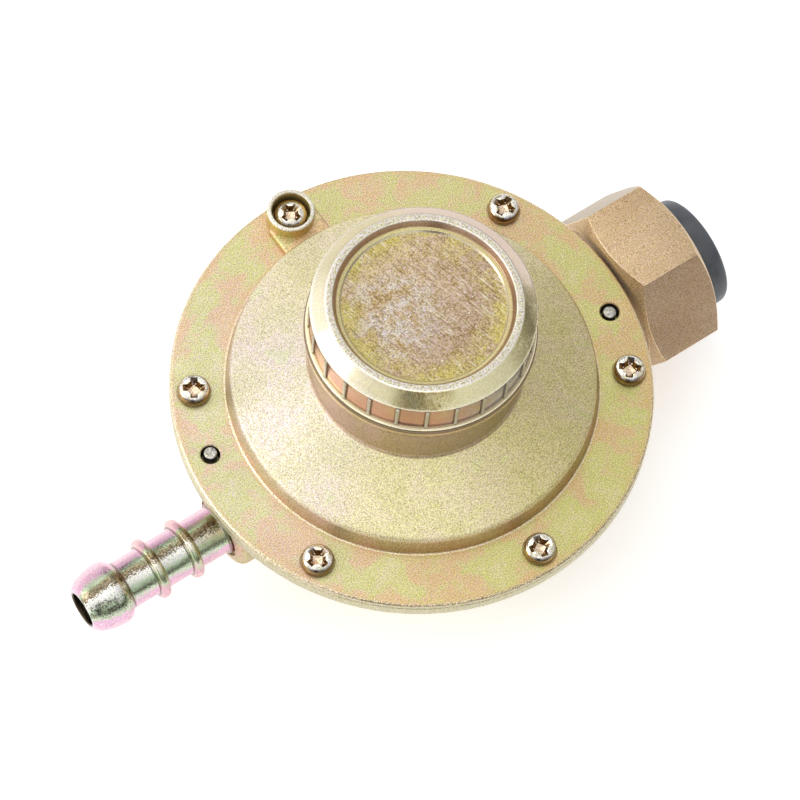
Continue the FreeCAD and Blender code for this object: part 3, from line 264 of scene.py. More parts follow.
def helix(name, section, pitch, turns, axis="Z", lift=0):
    """A closed section swept by the Screw modifier, its two ends closed."""
    piece = outline(name, section, True)
    applied(piece, "SCREW", screw_offset=pitch * MM, iterations=turns, steps=HELIX_STEPS, render_steps=HELIX_STEPS)
    edit(piece)
    bpy.ops.mesh.select_non_manifold()
    bpy.ops.mesh.fill_holes(sides=len(section))
    bpy.ops.mesh.select_all(action="SELECT")
    bpy.ops.mesh.normals_make_consistent(inside=False)
    if axis == "X":
        bpy.ops.transform.rotate(value=-math.pi / 2, orient_axis="Y", center_override=MIDDLE)
    bpy.ops.transform.translate(value=Vector((0, 0, lift)) * MM)
    rest()
    smooth(piece, 50)
    return piece


# %% [markdown]
# Sizes that several pieces share, in millimetres. The heights start from the flat base on the floor.

# %% Shared sizes
AXIS = 18.0
FLANGE = 31.3
COVER_RADIUS = 43.0
SCREW_CIRCLE = 38.7
PIN_CIRCLE = 38.5
PORT_FACE = 41.0
NUT_BACK = 43.5
NUT_FACE = 58.7
NECK = FLANGE + 19.1
SCREW_BEARINGS = {150: 56.8, 30: 27.3, -30: 49.3, -90: 77.3, -150: 8.3}
BOSS_BEARING = 90
PIN_BEARINGS = (168.4, 348.4)
PIN_SHIFTS = ((0.19, 0.29), (0, 0))
BREATHER = (47.0, 24.5)
SEAT = 0.25
HOLE_FOOT = FLANGE - 3.0
SCREW_HOLE = 1.65
PIN_HOLE = 1.75
PASSAGE = 3.15
print("cover radius", COVER_RADIUS, "flange top", FLANGE)

# %% [markdown]
# The cover is one die casting: a flat flange with a rolled edge, a raised step, a cone and a neck. The
# outline is a closed ring, so the wall has its real thickness and the neck its bore. A fine line runs
# round the side band just under the top edge, where the two halves of the die met.

# %% Cover: the turned shell
cover = turned("cover_casting", [
    (41.6, 27.85),
    (COVER_RADIUS, 27.85, 0.25),
    (COVER_RADIUS, 30.1),
    (42.72, 30.3),
    (COVER_RADIUS, 30.5),
    (COVER_RADIUS, FLANGE, 0.55),
    (33.05, FLANGE, 0.35),
    (32.5, FLANGE + 3.9, 0.75),
    (18.9, FLANGE + 9.6, 0.6),
    (18.9, NECK, 0.2),
    (16.55, NECK, 0.15),
    (16.55, NECK + 8.5, 0.5),
    (14.9, NECK + 8.5, 0.3),
    (14.9, FLANGE + 8.8, 0.5),
    (30.2, FLANGE + 2.4),
    (30.2, FLANGE - 2.2),
    (41.6, FLANGE - 2.2),
], steps=192, closed=True)
report(cover)

# %% [markdown]
# The tall boss stands on the flange over the sixth screw, tied to the step by a low pad with straight
# sides. Both are made on their own, with softened edges, and joined to the shell by a boolean. The well
# and the holes are cut last, the small breather hole behind the cap among them.

# %% Cover: boss, pad and holes
BOSS_TOP = FLANGE + 3.8
boss = turned("boss", [
    (0, FLANGE - 0.6), (4.34, FLANGE - 0.6), (4.34, BOSS_TOP, 0.4), (0, BOSS_TOP),
], steps=72, aside=(0, SCREW_CIRCLE))
web = block("web", (-4.85, 31.0, FLANGE - 0.6), (4.85, SCREW_CIRCLE, FLANGE + 1.35), soften=0.45)
combine(web, boss, "UNION")
combine(cover, web, "UNION")


def cutter(name, bearing, circle, steps, wall):
    """A tool for a hole on a circle. Its wall is a line of corners from its foot to its top."""
    return turned(name, [(0, wall[0][1]), *wall, (0, wall[-1][1])], steps=steps,
                  aside=round_spot(bearing, circle))


pin_wall = [(PIN_HOLE, HOLE_FOOT), (PIN_HOLE, FLANGE - 0.18), (1.95, FLANGE + 0.02), (1.95, FLANGE + 1.0)]
screw_foot = [(SCREW_HOLE, HOLE_FOOT), (SCREW_HOLE, FLANGE - SEAT)]
screw_wall = [*screw_foot, (3.0, FLANGE - SEAT), (3.1, FLANGE + 0.1), (3.1, FLANGE + 1.0)]
cutters = [
    cutter("well", BOSS_BEARING, SCREW_CIRCLE, 72, [
        *screw_foot,
        (3.5, FLANGE - SEAT, 0.2),
        (3.5, BOSS_TOP - 0.2),
        (3.7, BOSS_TOP + 0.05),
        (3.7, FLANGE + 5.0),
    ]),
    *(cutter("pin_hole", bearing, PIN_CIRCLE, 40, pin_wall) for bearing in PIN_BEARINGS),
    *(cutter("screw_hole", bearing, SCREW_CIRCLE, 48, screw_wall) for bearing in SCREW_BEARINGS),
    cutter("breather", *BREATHER, 32, [(1.0, FLANGE + 3), (1.0, FLANGE + 10)]),
]
combine(cover, joined("cutters", cutters), "DIFFERENCE")
smooth(cover)
finished(cover, "housing", "zinc_casting", "cover")

# %% [markdown]
# The threaded end of the neck shows once the cap is off. The ridge is a helix from the Screw modifier,
# a piece of its own that sits on the neck's core.

# %% Neck thread
neck_thread = helix("neck_thread", ridge(16.4, 17.2, NECK + 1.6, 1.5), 1.5, 4)
finished(neck_thread, "housing", "zinc_casting")

# %% [markdown]
# The lower body is a bowl with a flat base, an inlet boss towards the nut and an outlet boss towards the
# barb. The bosses flare where they leave the bowl, as a casting's fillets do, and are joined to it before
# the passages are cut.

# %% Lower body


def on_axis(name, corners, steps=96, closed=True, lift=AXIS, sideways=0):
    """A piece turned about the axis that the nut and the barb share."""
    return turned(name, corners, "X", steps, closed, lift, (0, sideways))


lower_body = turned("body_casting", [
    (0, 0), (26.0, 0, 1.3), (31.5, 8.0, 2.5),
    (35.5, 25.1), (40.9, 25.1, 0.4), (40.9, 28.3),
    (32.4, 28.3), (28.4, 9.0, 2.0), (25.0, 4.0),
    (0, 4.0),
])
for direction, radius, sideways in ((1, 8.8, 0), (-1, 7.1, -0.9)):
    port = on_axis("port", [
        (direction * 29.8, 0),
        (direction * PORT_FACE, 0),
        (direction * PORT_FACE, radius, 1.5),
        (direction * 35.5, radius, 1.5),
        (direction * 29.8, radius + 1.6),
    ], sideways=sideways)
    combine(lower_body, port, "UNION")
for bore in (
    [(27.0, 0), (42.0, 0), (42.0, 7.05), (31.5, 7.05), (31.5, 3.2), (27.0, 3.2)],
    [(-27.0, 0), (-27.0, 3.2), (-40.4, 3.2), (-40.4, 5.6), (-42.0, 5.6), (-42.0, 0)],
):
    combine(lower_body, on_axis("bore", bore, steps=64), "DIFFERENCE")
smooth(lower_body)
finished(lower_body, "housing", "zinc_casting", "lower_body")

# %% [markdown]
# The screw cap has a plain collar, a band of panels between upright ribs, a wide bevel, a narrow flat rim
# and a sunk disc. One rib is modelled and copied round the band, and one boolean joins all the ribs.

# %% Screw cap
CAP_FOOT = NECK + 0.35
BAND_FOOT = CAP_FOOT + 2.95
BAND_TOP = CAP_FOOT + 9.6
CAP_TOP = BAND_TOP + 2.1
RIBS = 24
RIB_START = 177.3

cap = turned("cap_casting", [
    (18.7, CAP_FOOT),
    (20.05, CAP_FOOT, 0.5),
    (20.2, CAP_FOOT + 0.9, 0.2),
    (20.2, BAND_FOOT - 0.95, 0.12),
    (19.7, BAND_FOOT - 0.85, 0.06),
    (19.7, BAND_FOOT - 0.6, 0.06),
    (19.98, BAND_FOOT - 0.5, 0.08),
    (19.9, BAND_FOOT - 0.05, 0.15),
    (19.25, BAND_FOOT + 0.05, 0.1),
    (19.25, BAND_TOP - 0.6),
    (19.3, BAND_TOP - 0.45),
    (19.5, BAND_TOP - 0.42, 0.04),
    (19.5, BAND_TOP - 0.1, 0.1),
    (19.3, BAND_TOP, 0.08),
    (16.95, CAP_TOP, 0.3),
    (15.75, CAP_TOP, 0.12),
    (15.1, CAP_TOP - 1.2, 0.2),
    (14.5, CAP_TOP - 1.25, 0.1),
    (14.15, CAP_TOP - 1.65, 0.08),
    (0, CAP_TOP - 1.65),
    (0, CAP_TOP - 3.15),
    (17.5, CAP_TOP - 3.15, 0.4),
    (17.5, NECK + 1.7),
    (18.7, NECK + 1.7),
], steps=192, closed=True)
rib = block("rib", (18.6, -0.32, BAND_FOOT - 0.1), (19.66, 0.32, BAND_TOP - 0.44), soften=0.15)
ribs = [copied(rib, "rib_copy", turn=RIB_START + 360 / RIBS * i) for i in range(RIBS)]
bpy.data.objects.remove(rib)
combine(cap, joined("ribs", ribs), "UNION")
smooth(cap)
finished(cap, "cap", "cap_casting", "screw_cap")

# %% [markdown]
# The pan heads have a low dome and a cross recess whose arms narrow downwards. A screw is modelled at
# the origin, and each copy gets its own turn, because nobody lines screws up. The sunk screw has a wider
# head that narrows to a smaller top, so it is turned from its own outline.

# %% Screws
HEAD_GOLD = FLANGE + 1.6
SUNK_LIFT = 1.0
SHANK = [(0, -6.0), (1.45, -6.0, 0.3), (1.45, -SEAT), (2.7, -SEAT), (2.75, 0)]
PAN_HEAD = [(2.9, 0.3), (2.9, 1.15, 0.35), (2.5, 1.85, 0.4), (0, 2.1)]
SUNK_HEAD = [(3.05, 0.3), (3.05, 1.3 + SUNK_LIFT, 0.35), (2.15, 1.9 + SUNK_LIFT, 0.3), (0, 2.1 + SUNK_LIFT)]


def tapered(name, along, across, floor, foot):
    """A block for the recess. Its half sizes are those at its top, and its floor is smaller by the foot."""
    piece = block(name, (-along, -across, floor), (along, across, 2.7))
    edit(piece)
    pick(piece, "faces", lambda face: face.normal.z < -0.9)
    bpy.ops.transform.resize(value=(foot, foot, 1), center_override=(0, 0, floor * MM))
    rest()
    return piece


def pan_screw(name, head, reach, lift=0.0):
    """A screw with a cross recess, whose arms have the given reach at the top."""
    screw = turned(name, [*SHANK, *head], steps=72)
    recess = tapered("arm", reach, 0.85, 1.0, 0.45)
    combine(recess, tapered("arm", 0.85, reach, 1.0, 0.45), "UNION")
    heart = tapered("heart", reach * 0.6, reach * 0.6, 0.7, 0.5)
    edit(heart)
    bpy.ops.transform.rotate(value=math.pi / 4, orient_axis="Z", center_override=MIDDLE)
    combine(recess, heart, "UNION")
    edit(recess)
    bpy.ops.transform.translate(value=(0, 0, lift * MM))
    combine(screw, recess, "DIFFERENCE")
    soften_edges(screw, 0.08, 35)
    smooth(screw, 40)
    return screw


screw = pan_screw("screw", PAN_HEAD, 2.75)
cover_screws = joined("pan_head_screws", [
    copied(screw, "cover_screw_copy", (*round_spot(bearing, SCREW_CIRCLE), FLANGE), cross)
    for bearing, cross in SCREW_BEARINGS.items()
])
finished(cover_screws, "housing", "plated_steel", "cover_screws")
sunk = pan_screw("sunk", SUNK_HEAD, 2.6, SUNK_LIFT)
boss_screw = copied(sunk, "sunk_screw", (0, SCREW_CIRCLE, FLANGE), 15.3)
finished(boss_screw, "housing", "plated_steel", "boss_screw")
for model in (screw, sunk):
    bpy.data.objects.remove(model)

# %% [markdown]
# Two locating pins show as bright dots in open holes, a little below the flange's face.
# One sits off the middle of its hole, as in the photograph.

# %% Locating pins
pins = []
for bearing, shift in zip(PIN_BEARINGS, PIN_SHIFTS):
    x, y = round_spot(bearing, PIN_CIRCLE)
    pins.append(turned("pin", [(0, 25.1), (1.2, 25.1), (1.2, FLANGE - 0.1, 0.25), (0, FLANGE - 0.1)],
                       steps=40, aside=(x + shift[0], y + shift[1])))
locating_pins = joined("locating_pins", pins)
finished(locating_pins, "housing", "bare_steel", "dowel_pins")

# %% [markdown]
# The union nut starts as a six-sided cylinder. Keeping only what it shares with a turned double cone
# gives the curved chamfer arcs that a real nut gets on the lathe. The stepped bore is then cut out.

# %% Union nut
NUT_ACROSS = 30.0
NUT_TURN = -3.55
NUT_FACE_RADIUS = 14.4
CHAMFER = math.tan(math.radians(30))
BLANK_RADIUS = 19.0


def six_sided(across, depth, place=MIDDLE):
    """An upright prism. Across is the distance between two flats."""
    rest()
    bpy.ops.mesh.primitive_cylinder_add(vertices=6, radius=across / math.sqrt(3) * MM, depth=depth * MM,
                                        location=place)
    return bpy.context.object


nut = six_sided(NUT_ACROSS, NUT_FACE - NUT_BACK)
nut.name = "hexagon_nut"
edit(nut)
bpy.ops.transform.rotate(value=math.pi / 2, orient_axis="Y", center_override=MIDDLE)
bpy.ops.transform.translate(value=Vector(((NUT_FACE + NUT_BACK) / 2, 0, 0)) * MM)
rest()
corner_angle = min(math.degrees(math.atan2(vert.co.z, vert.co.y)) % 60 for vert in nut.data.vertices)
edit(nut)
# With no window, rotate turns the other way round the axis, so the angle is negative.
bpy.ops.transform.rotate(value=-math.radians(NUT_TURN - corner_angle), orient_axis="X", center_override=MIDDLE)
bpy.ops.transform.translate(value=(0, 0, AXIS * MM))
run = (BLANK_RADIUS - NUT_FACE_RADIUS) * CHAMFER
combine(nut, on_axis("blank", [
    (NUT_BACK, 0), (NUT_BACK, NUT_FACE_RADIUS), (NUT_BACK + run, BLANK_RADIUS),
    (NUT_FACE - run, BLANK_RADIUS), (NUT_FACE, NUT_FACE_RADIUS), (NUT_FACE, 0),
], steps=192, closed=False), "INTERSECT")
combine(nut, on_axis("bore", [
    (NUT_BACK - 1, 0), (NUT_FACE + 1, 0), (NUT_FACE + 1, 11.7), (NUT_FACE - 0.1, 10.6),
    (56.7, 10.6), (56.1, 10.35), (46.5, 10.35),
    (46.5, 6.6),
    (NUT_BACK - 1, 6.6),
], steps=128), "DIFFERENCE")
soften_edges(nut, 0.18, 24)
smooth(nut, 20)
finished(nut, "nut", "blasted_brass", "union_nut")
nut_thread = helix("nut_thread", ridge(10.45, 9.74, 50.9, 1.81), 1.81, 3, axis="X", lift=AXIS)
finished(nut_thread, "nut", "blasted_brass")

# %% [markdown]
# The plug is a soft plastic cup pushed into the nut's mouth to keep dirt out. It has a shallow waist at
# the nut and a rounded outer edge, and its brim sits a little off the axis.

# %% Protective plug
plug = on_axis("mouth_plug", [
    (57.0, 0), (57.0, 10.3, 0.3), (58.9, 10.3),
    (59.2, 9.6, 0.15), (61.5, 9.6), (61.5, 8.0),
    (59.0, 7.7, 0.5), (59.0, 0),
], steps=128, closed=False)
brim = on_axis("brim", [
    (60.3, 8.0), (60.3, 10.4, 0.25), (62.3, 10.75, 0.4),
    (64.2, 10.6, 0.9), (64.2, 8.4, 0.35), (61.2, 8.0),
], steps=128, lift=AXIS - 0.85, sideways=-0.8)
combine(plug, brim, "UNION")
smooth(plug)
finished(plug, "plug", "plug_plastic", "protective_plug")

# %% [markdown]
# The hose barb is one turned piece: a bulb with a long slope, a plain pipe with two narrow ribs, and a
# screwed shank in the outlet boss. Small roundings at the ribs give the bright rings of the photograph.

# %% Hose barb
PIPE = 4.55


def barb_rib(middle, radius):
    return [
        (middle - 1.0, PIPE, 0.2),
        (middle - 0.75, radius, 0.6),
        (middle + 0.75, radius, 0.6),
        (middle + 1.0, PIPE, 0.2),
    ]


barb = on_axis("plated_barb", [
    (-69.4, PASSAGE, 0.25),
    (-69.4, 4.1, 0.4), (-68.1, 5.2, 1.0), (-65.2, 5.95, 1.4),
    (-62.5, 6.05, 1.0),
    (-61.2, PIPE, 0.4),
    *barb_rib(-55.1, 5.85),
    *barb_rib(-48.1, 5.80),
    (-41.5, PIPE, 0.1),
    (-41.3, 4.95, 0.15), (-40.4, 4.95), (-40.4, 5.0),
    (-32.7, 5.0, 0.3),
    (-32.7, PASSAGE),
])
finished(barb, "housing", "plated_barb", "hose_barb")

# %% [markdown]
# The pieces between the body and the nut show from the side and from below, and the gasket and filter
# show in the nut's mouth once the plug is out. The adjusting screw and the seal show when the cap is off.

# %% Inlet nipple, washer, gasket and filter
nipple = on_axis("nipple", [
    (31.7, PASSAGE),
    (44.7, PASSAGE),
    (44.7, 4.2), (48.3, 4.2, 0.2), (48.3, 9.2, 0.3),
    (46.8, 9.2, 0.2), (46.8, 6.3, 0.3), (43.0, 6.3, 0.2),
    (43.0, 8.4, 0.3), (41.7, 8.4, 0.2), (41.7, 7.0),
    (31.7, 7.0, 0.4),
])
finished(nipple, "housing", "brass", "inlet_nipple")
washer = on_axis("washer", [(41.0, 7.1), (41.0, 8.4, 0.15), (41.7, 8.4, 0.15), (41.7, 7.1)])
finished(washer, "housing", "aluminium_washer", "nipple_washer")
gasket = on_axis("face_gasket", [(48.3, 3.6), (48.3, 9.2, 0.3), (50.2, 9.2, 0.4), (50.2, 3.6, 0.4)])
finished(gasket, "housing", "black_rubber", "nose_gasket")
strainer = on_axis("strainer", [
    (44.7, 2.9), (46.9, 2.9), (46.9, 0),
    (48.2, 0), (48.2, 4.15, 0.4), (44.7, 4.15),
], steps=64)
finished(strainer, "housing", "brass", "inlet_filter")

# %% Adjusting screw and cap seal
ADJUSTER_FOOT = FLANGE + 13.9
adjuster = turned("adjuster", [
    (0, ADJUSTER_FOOT),
    (14.82, ADJUSTER_FOOT, 0.4),
    (14.82, ADJUSTER_FOOT + 6.0, 0.4),
    (0, ADJUSTER_FOOT + 6.0),
], steps=128)
combine(adjuster, six_sided(10.0, 4.0, (0, 0, (ADJUSTER_FOOT + 4.0) * MM)), "DIFFERENCE")
smooth(adjuster)
finished(adjuster, "adjuster", "brass", "adjusting_screw")
seal = turned("seal_ring", [(17.3, NECK), (18.6, NECK, 0.4), (18.6, NECK + 1.6, 0.4), (17.3, NECK + 1.6)],
              steps=128, closed=True)
finished(seal, "cap_carrier", "black_rubber", "cap_seal")

# %% [markdown]
# Inside, two pieces change shape as the regulator works: the rubber diaphragm flattens and the main spring
# is pressed together when the gas lifts the diaphragm. A turned dish and a wire swept along a helix stand
# for them, each with a mesh of its own.

# %% Diaphragm and main spring
BODY_TOP = 28.3
RUBBER = 0.8
DISH_DEPTH = 3.0
WIRE = 0.9
COIL = 10.0
COIL_TURNS = 5
SPRING_FOOT, SPRING_TOP = (corner[2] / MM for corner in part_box("main_spring"))

dish = turned("diaphragm_dish", [
    (2.05, BODY_TOP - DISH_DEPTH),
    (25.0, BODY_TOP - DISH_DEPTH, 1.0),
    (30.0, BODY_TOP, 1.0),
    (40.8, BODY_TOP),
    (40.8, BODY_TOP + RUBBER),
    (30.0, BODY_TOP + RUBBER, 1.0),
    (25.0, BODY_TOP + RUBBER - DISH_DEPTH, 1.0),
    (2.05, BODY_TOP + RUBBER - DISH_DEPTH),
], steps=128, closed=True)
punches = [
    cutter("punch", bearing, circle, 24, [(radius, 25), (radius, 32)])
    for circle, radius, bearings in (
        (SCREW_CIRCLE, SCREW_HOLE, (*SCREW_BEARINGS, BOSS_BEARING)),
        (PIN_CIRCLE, 1.7, PIN_BEARINGS),
    )
    for bearing in bearings
]
combine(dish, joined("punches", punches), "DIFFERENCE")
smooth(dish)
finished(dish, "housing", "black_rubber", "diaphragm")
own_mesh(dish)

pitch = (SPRING_TOP - SPRING_FOOT - 2 * WIRE) / COIL_TURNS
wire_section = []
for angle in range(0, 360, 30):
    across, up = round_spot(angle, WIRE)
    wire_section.append((COIL + across, SPRING_FOOT + WIRE + up))
spring = helix("coil_spring", wire_section, pitch, COIL_TURNS)
finished(spring, "housing", "bare_steel", "main_spring")
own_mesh(spring)

# %% [markdown]
# Materials are built from nodes in Object coordinates, so a pattern stays with its piece. The helpers
# write into the material that was opened last. One adds a node and feeds its inputs, and a node's output
# can be added, subtracted, multiplied and divided like a number, which keeps each recipe readable.

# %% Material helpers
tree = None


class Wire:
    """A node's output. Each sign adds the math node that it stands for."""

    def __init__(self, socket):
        self.socket = socket

    def __add__(self, other):
        return maths("ADD", self, other)

    def __sub__(self, other):
        return maths("SUBTRACT", self, other)

    def __mul__(self, other):
        return maths("MULTIPLY", self, other)

    def __truediv__(self, other):
        return maths("DIVIDE", self, other)


def feed(entry, value):
    """Links a wire to an input, or sets the input to a plain value."""
    if isinstance(value, Wire):
        tree.links.new(value.socket, entry)
    elif entry.type == "RGBA":
        entry.default_value = (*value, 1.0)
    else:
        entry.default_value = value


def add(kind, settings=None, **inputs):
    """Adds a node. Settings are its own choices; inputs are values or wires, by the input's name."""
    made = tree.nodes.new(kind)
    for key, value in (settings or {}).items():
        setattr(made, key, value)
    for key, value in inputs.items():
        name = key.replace("_", " ")
        feed(next(entry for entry in made.inputs if entry.name == name and entry.enabled), value)
    return made


def source(name):
    """One of the texture coordinates."""
    return Wire(add("ShaderNodeTexCoord").outputs[name])


def fresh(name):
    """Opens a new material. Gives the material and its Object coordinates."""
    global tree
    material = bpy.data.materials.new(name)
    material.use_nodes = True
    tree = material.node_tree
    tree.nodes.clear()
    return material, source("Object")


def maths(what, *values):
    made = add("ShaderNodeMath", {"operation": what})
    for entry, value in zip(made.inputs, values):
        feed(entry, value)
    return Wire(made.outputs[0])


def either(first, *others):
    """The largest of several values."""
    for other in others:
        first = maths("MAXIMUM", first, other)
    return first


def parts(vector):
    """A vector's x, y and z."""
    return [Wire(output) for output in add("ShaderNodeSeparateXYZ", Vector=vector).outputs]


def compare(what, vector, fixed):
    """A vector math node that sets a vector against a fixed one."""
    made = add("ShaderNodeVectorMath", {"operation": what}, Vector=vector)
    made.inputs[1].default_value = fixed
    return Wire(made.outputs["Value"])


def noise(place, size, detail=3.0, roughness=0.5, distortion=0.0):
    """Noise whose features are about the given size in millimetres."""
    return Wire(add("ShaderNodeTexNoise", Vector=place, Scale=1000.0 / size, Detail=detail,
                    Roughness=roughness, Distortion=distortion).outputs["Fac"])


def ramp(value, stops):
    """A colour ramp through (place, colour) stops."""
    made = add("ShaderNodeValToRGB", Fac=value)
    elements = made.color_ramp.elements
    while len(elements) < len(stops):
        elements.new(0.5)
    for element, (place, colour) in zip(elements, stops):
        element.position = place
        element.color = (*colour, 1.0)
    return Wire(made.outputs["Color"])


def span(value, low, high, to_low=0.0, to_high=1.0):
    """Stretches a value from one range to another, held at its ends."""
    return Wire(add("ShaderNodeMapRange", Value=value, From_Min=low, From_Max=high,
                    To_Min=to_low, To_Max=to_high).outputs["Result"])


def between(value, low, high, soft=0.06):
    """One where a value lies between two limits, nothing elsewhere."""
    return span(value, low - soft, low + soft) * span(value, high + soft, high - soft)


def mix(share, first, second, kind="MIX"):
    made = add("ShaderNodeMix", {"data_type": "RGBA", "blend_type": kind})
    for number, value in ((0, share), (6, first), (7, second)):
        feed(made.inputs[number], value)
    return Wire(made.outputs[2])


def tinted(share, base, colour):
    """Multiplies part of a colour by another."""
    return mix(share, base, mix(1.0, base, colour, "MULTIPLY"))


def bump(height, depth, strength=1.0, **under):
    """Relief for a height from 0 to 1, with its depth in millimetres."""
    return Wire(add("ShaderNodeBump", Height=height, Distance=depth * MM, Strength=strength,
                    **under).outputs["Normal"])


def shade(**inputs):
    surface = add("ShaderNodeBsdfPrincipled", **inputs)
    tree.links.new(surface.outputs[0], add("ShaderNodeOutputMaterial").inputs[0])


def wear(material, *pieces):
    """Puts one material on whole pieces."""
    for piece in pieces:
        piece.data.materials.clear()
        piece.data.materials.append(material)


# %% [markdown]
# The castings are zinc with a yellow chromate: a thin film whose colour drifts between lime khaki and
# salmon pink over half a centimetre, with a fine sandy grain. The film is paler on the cone. Painted shade
# makes steep walls browner, less so on the lit side, and the neck under the cap darkest, and the flange and
# cone get painted light and shade by side. Object coordinates and the object's own normal say which is
# which, so one recipe serves the cover and the lower body.

# %% Chromated casting


def paint(red, green, blue):
    """A colour in the 0 to 255 numbers of a paint program, made linear."""
    return tuple(
        value / 255 / 12.92 if value <= 10 else ((value / 255 + 0.055) / 1.055) ** 2.4
        for value in (red, green, blue)
    )


def painted(value, stops):
    """A colour ramp through (place, red, green, blue) stops."""
    return ramp(value, [(place, paint(*colour)) for place, *colour in stops])


def grey(value):
    return (value,) * 3


def spot_of(place):
    """A point's distance from the regulator's upright axis, and its x, y and z, in millimetres."""
    x, y, z = (part / MM for part in parts(place))
    return maths("SQRT", x * x + y * y), x, y, z


def facing(spot, bearing):
    """One on the side that a bearing points to, minus one on the side across from it."""
    radius, x, y, _ = spot
    angle = math.radians(bearing)
    return (x * math.cos(angle) + y * math.sin(angle)) / radius


def tinted_by_side(spot, base, sides, where=None):
    """Tints a colour on several sides, each given as (bearing, low, high, tint): painted light and shade by side.
    """
    for bearing, low, high, tint in sides:
        share = span(facing(spot, bearing), low, high)
        base = tinted(share * where if where else share, base, tint)
    return base


def steepness(low=0.80, high=0.45):
    """One on walls, nothing on tops."""
    return span(maths("ABSOLUTE", parts(source("Normal"))[2]), low, high)


def grains(place, size, share=1.0, dark=(0.54, 0.50, 0.36), light=(1.26, 1.26, 1.45)):
    """Fine light and dark specks to multiply a colour with, and their height."""
    speck = noise(place, size, 2.0, 0.75)
    tone = ramp(speck, [(0.36, dark), (0.50, grey(1.0)), (0.62, light)])
    hue = ramp(noise(place, size * 1.1, 2.0, 0.7),
               [(0.40, (1.03, 0.96, 1.10)), (0.50, grey(1.0)), (0.60, (0.99, 1.02, 0.68))])
    return mix(share, grey(1.0), mix(1.0, tone, hue, "MULTIPLY")), speck


LIT_SIDE = 165


def casting(name):
    material, place = fresh(name)
    spot = spot_of(place)
    radius, x, y, z = spot
    tone, speck = grains(place, 0.21)
    frayed = (speck - 0.5) * 0.22
    drift = noise(place, 7.0, 4.0, 0.62, 0.4) + frayed
    flange = painted(drift, [
        (0.36, 222, 213, 168), (0.43, 215, 212, 150), (0.49, 217, 210, 156),
        (0.54, 224, 202, 162), (0.62, 225, 193, 157), (0.70, 222, 207, 164),
    ])
    wander = drift * 4
    edges = either(span(radius + wander, 43.2, 44.8, 0.0, 0.75), span(radius - wander, 32.6, 31.4, 0.0, 0.6))
    flange = mix(edges, flange, paint(226, 194, 150))
    # Painted shade: the flange is darker towards the shaded side, and painted light makes it cooler on the lit
    # side.
    flange = tinted(span(x * 0.643 - y * 0.766, -8, 38), flange, (0.92, 0.93, 0.78))
    flange = tinted_by_side(spot, flange, [(LIT_SIDE, 0.3, 0.95, (0.92, 0.94, 1.12))])
    cone = painted(noise(place, 9.0, 4.0, 0.6, 0.4) + frayed, [
        (0.36, 224, 216, 172), (0.50, 232, 222, 184), (0.60, 234, 220, 194),
        (0.70, 226, 224, 180),
    ])
    # Painted light and shade on the cone by side: cooler on the lit side, darker on the shaded side, brighter on
    # the near side.
    cone = tinted_by_side(spot, cone, [
        (LIT_SIDE, 0.6, 1.0, (0.86, 0.87, 1.0)),
        (LIT_SIDE, 0.1, 0.8, (0.98, 0.98, 1.05)),
        (325, 0.3, 0.95, (0.85, 0.83, 0.68)),
        (258, 0.6, 0.95, (1.10, 1.10, 0.98)),
    ])
    base = mix(span(radius, 32.7, 33.1), cone, flange)

    # Painted shade: walls are browner, less so on the lit side, and the neck under the cap darkest of all.
    wall = steepness()
    lit = facing(spot, LIT_SIDE)
    on_wall = mix(span(lit, 0.2, 0.95) * span(z, FLANGE + 7, FLANGE + 5), (0.72, 0.62, 0.58), (0.92, 0.84, 0.86))
    neck = span(radius, 19.4, 19.2) * span(z, FLANGE, FLANGE + 1)
    on_neck = mix(span(lit, 0.25, 0.95), (0.50, 0.44, 0.47), (0.80, 0.66, 0.62))
    base = tinted(either(wall, neck), base, mix(neck, on_wall, on_neck))

    # The side band, painted highlights as bright lines at the step's foot and the flange's edge, a painted
    # dark reflection as dark dots along the near side of that edge, and the boss.
    base = mix(span(radius, 42.85, 42.95), base, paint(196, 190, 160))
    ring = between(radius, 33.05, 33.42) * span(z, FLANGE + 0.3, FLANGE + 0.2)
    lip = between(radius, 42.5, 42.95) * span(z, FLANGE - 0.5, FLANGE - 0.4)
    base = mix(either(ring, lip) * 0.5, base, paint(240, 230, 204))
    # Painted dark reflection: dark dots along the flange's edge on the near side.
    dots = span(speck, 0.54, 0.46) * span(facing(spot, 262), 0.3, 0.8)
    base = mix(lip * dots * 0.55, base, paint(88, 74, 52))
    outside = span(radius, 33.6, 33.8)
    well = wall * outside * span(z, FLANGE + 0.3, FLANGE + 0.6) * span(y, 34, 34.2)
    base = mix(well, base, paint(206, 188, 122))
    base = mix(span(z, BOSS_TOP - 0.3, BOSS_TOP - 0.15) * outside, base, paint(232, 228, 216))

    rough = mix(either(ring, lip), span(noise(place, 5.0), 0.3, 0.7, 0.36, 0.48), grey(0.2))
    coarse = bump(noise(place, 1.4), 0.05, 0.35, Normal=bump(speck, 0.05, 0.6))
    shade(Base_Color=mix(1.0, base, tone, "MULTIPLY"), Metallic=0.8, Roughness=rough, Normal=coarse)
    return material


film = casting("chromated_casting")
wear(film, cover, lower_body, neck_thread)
print(film.name, len(film.node_tree.nodes), "nodes")

# %% [markdown]
# A hole that is deep and narrow looks black in the photograph. The faces down the pin holes get a dark,
# rough slot of their own, painted shade for the dark inside the hole, selected by their distance from each hole.

# %% Dark hole walls


def dress(piece, material, test):
    """Gives one more material to the faces that pass the test, which gets a face and its centre."""
    piece.data.materials.append(material)
    edit(piece)
    pick(piece, "faces", lambda face: test(face, face.calc_center_median() / MM))
    piece.active_material_index = len(piece.data.materials) - 1
    bpy.ops.object.material_slot_assign()
    rest()
    print(piece.name, material.name)


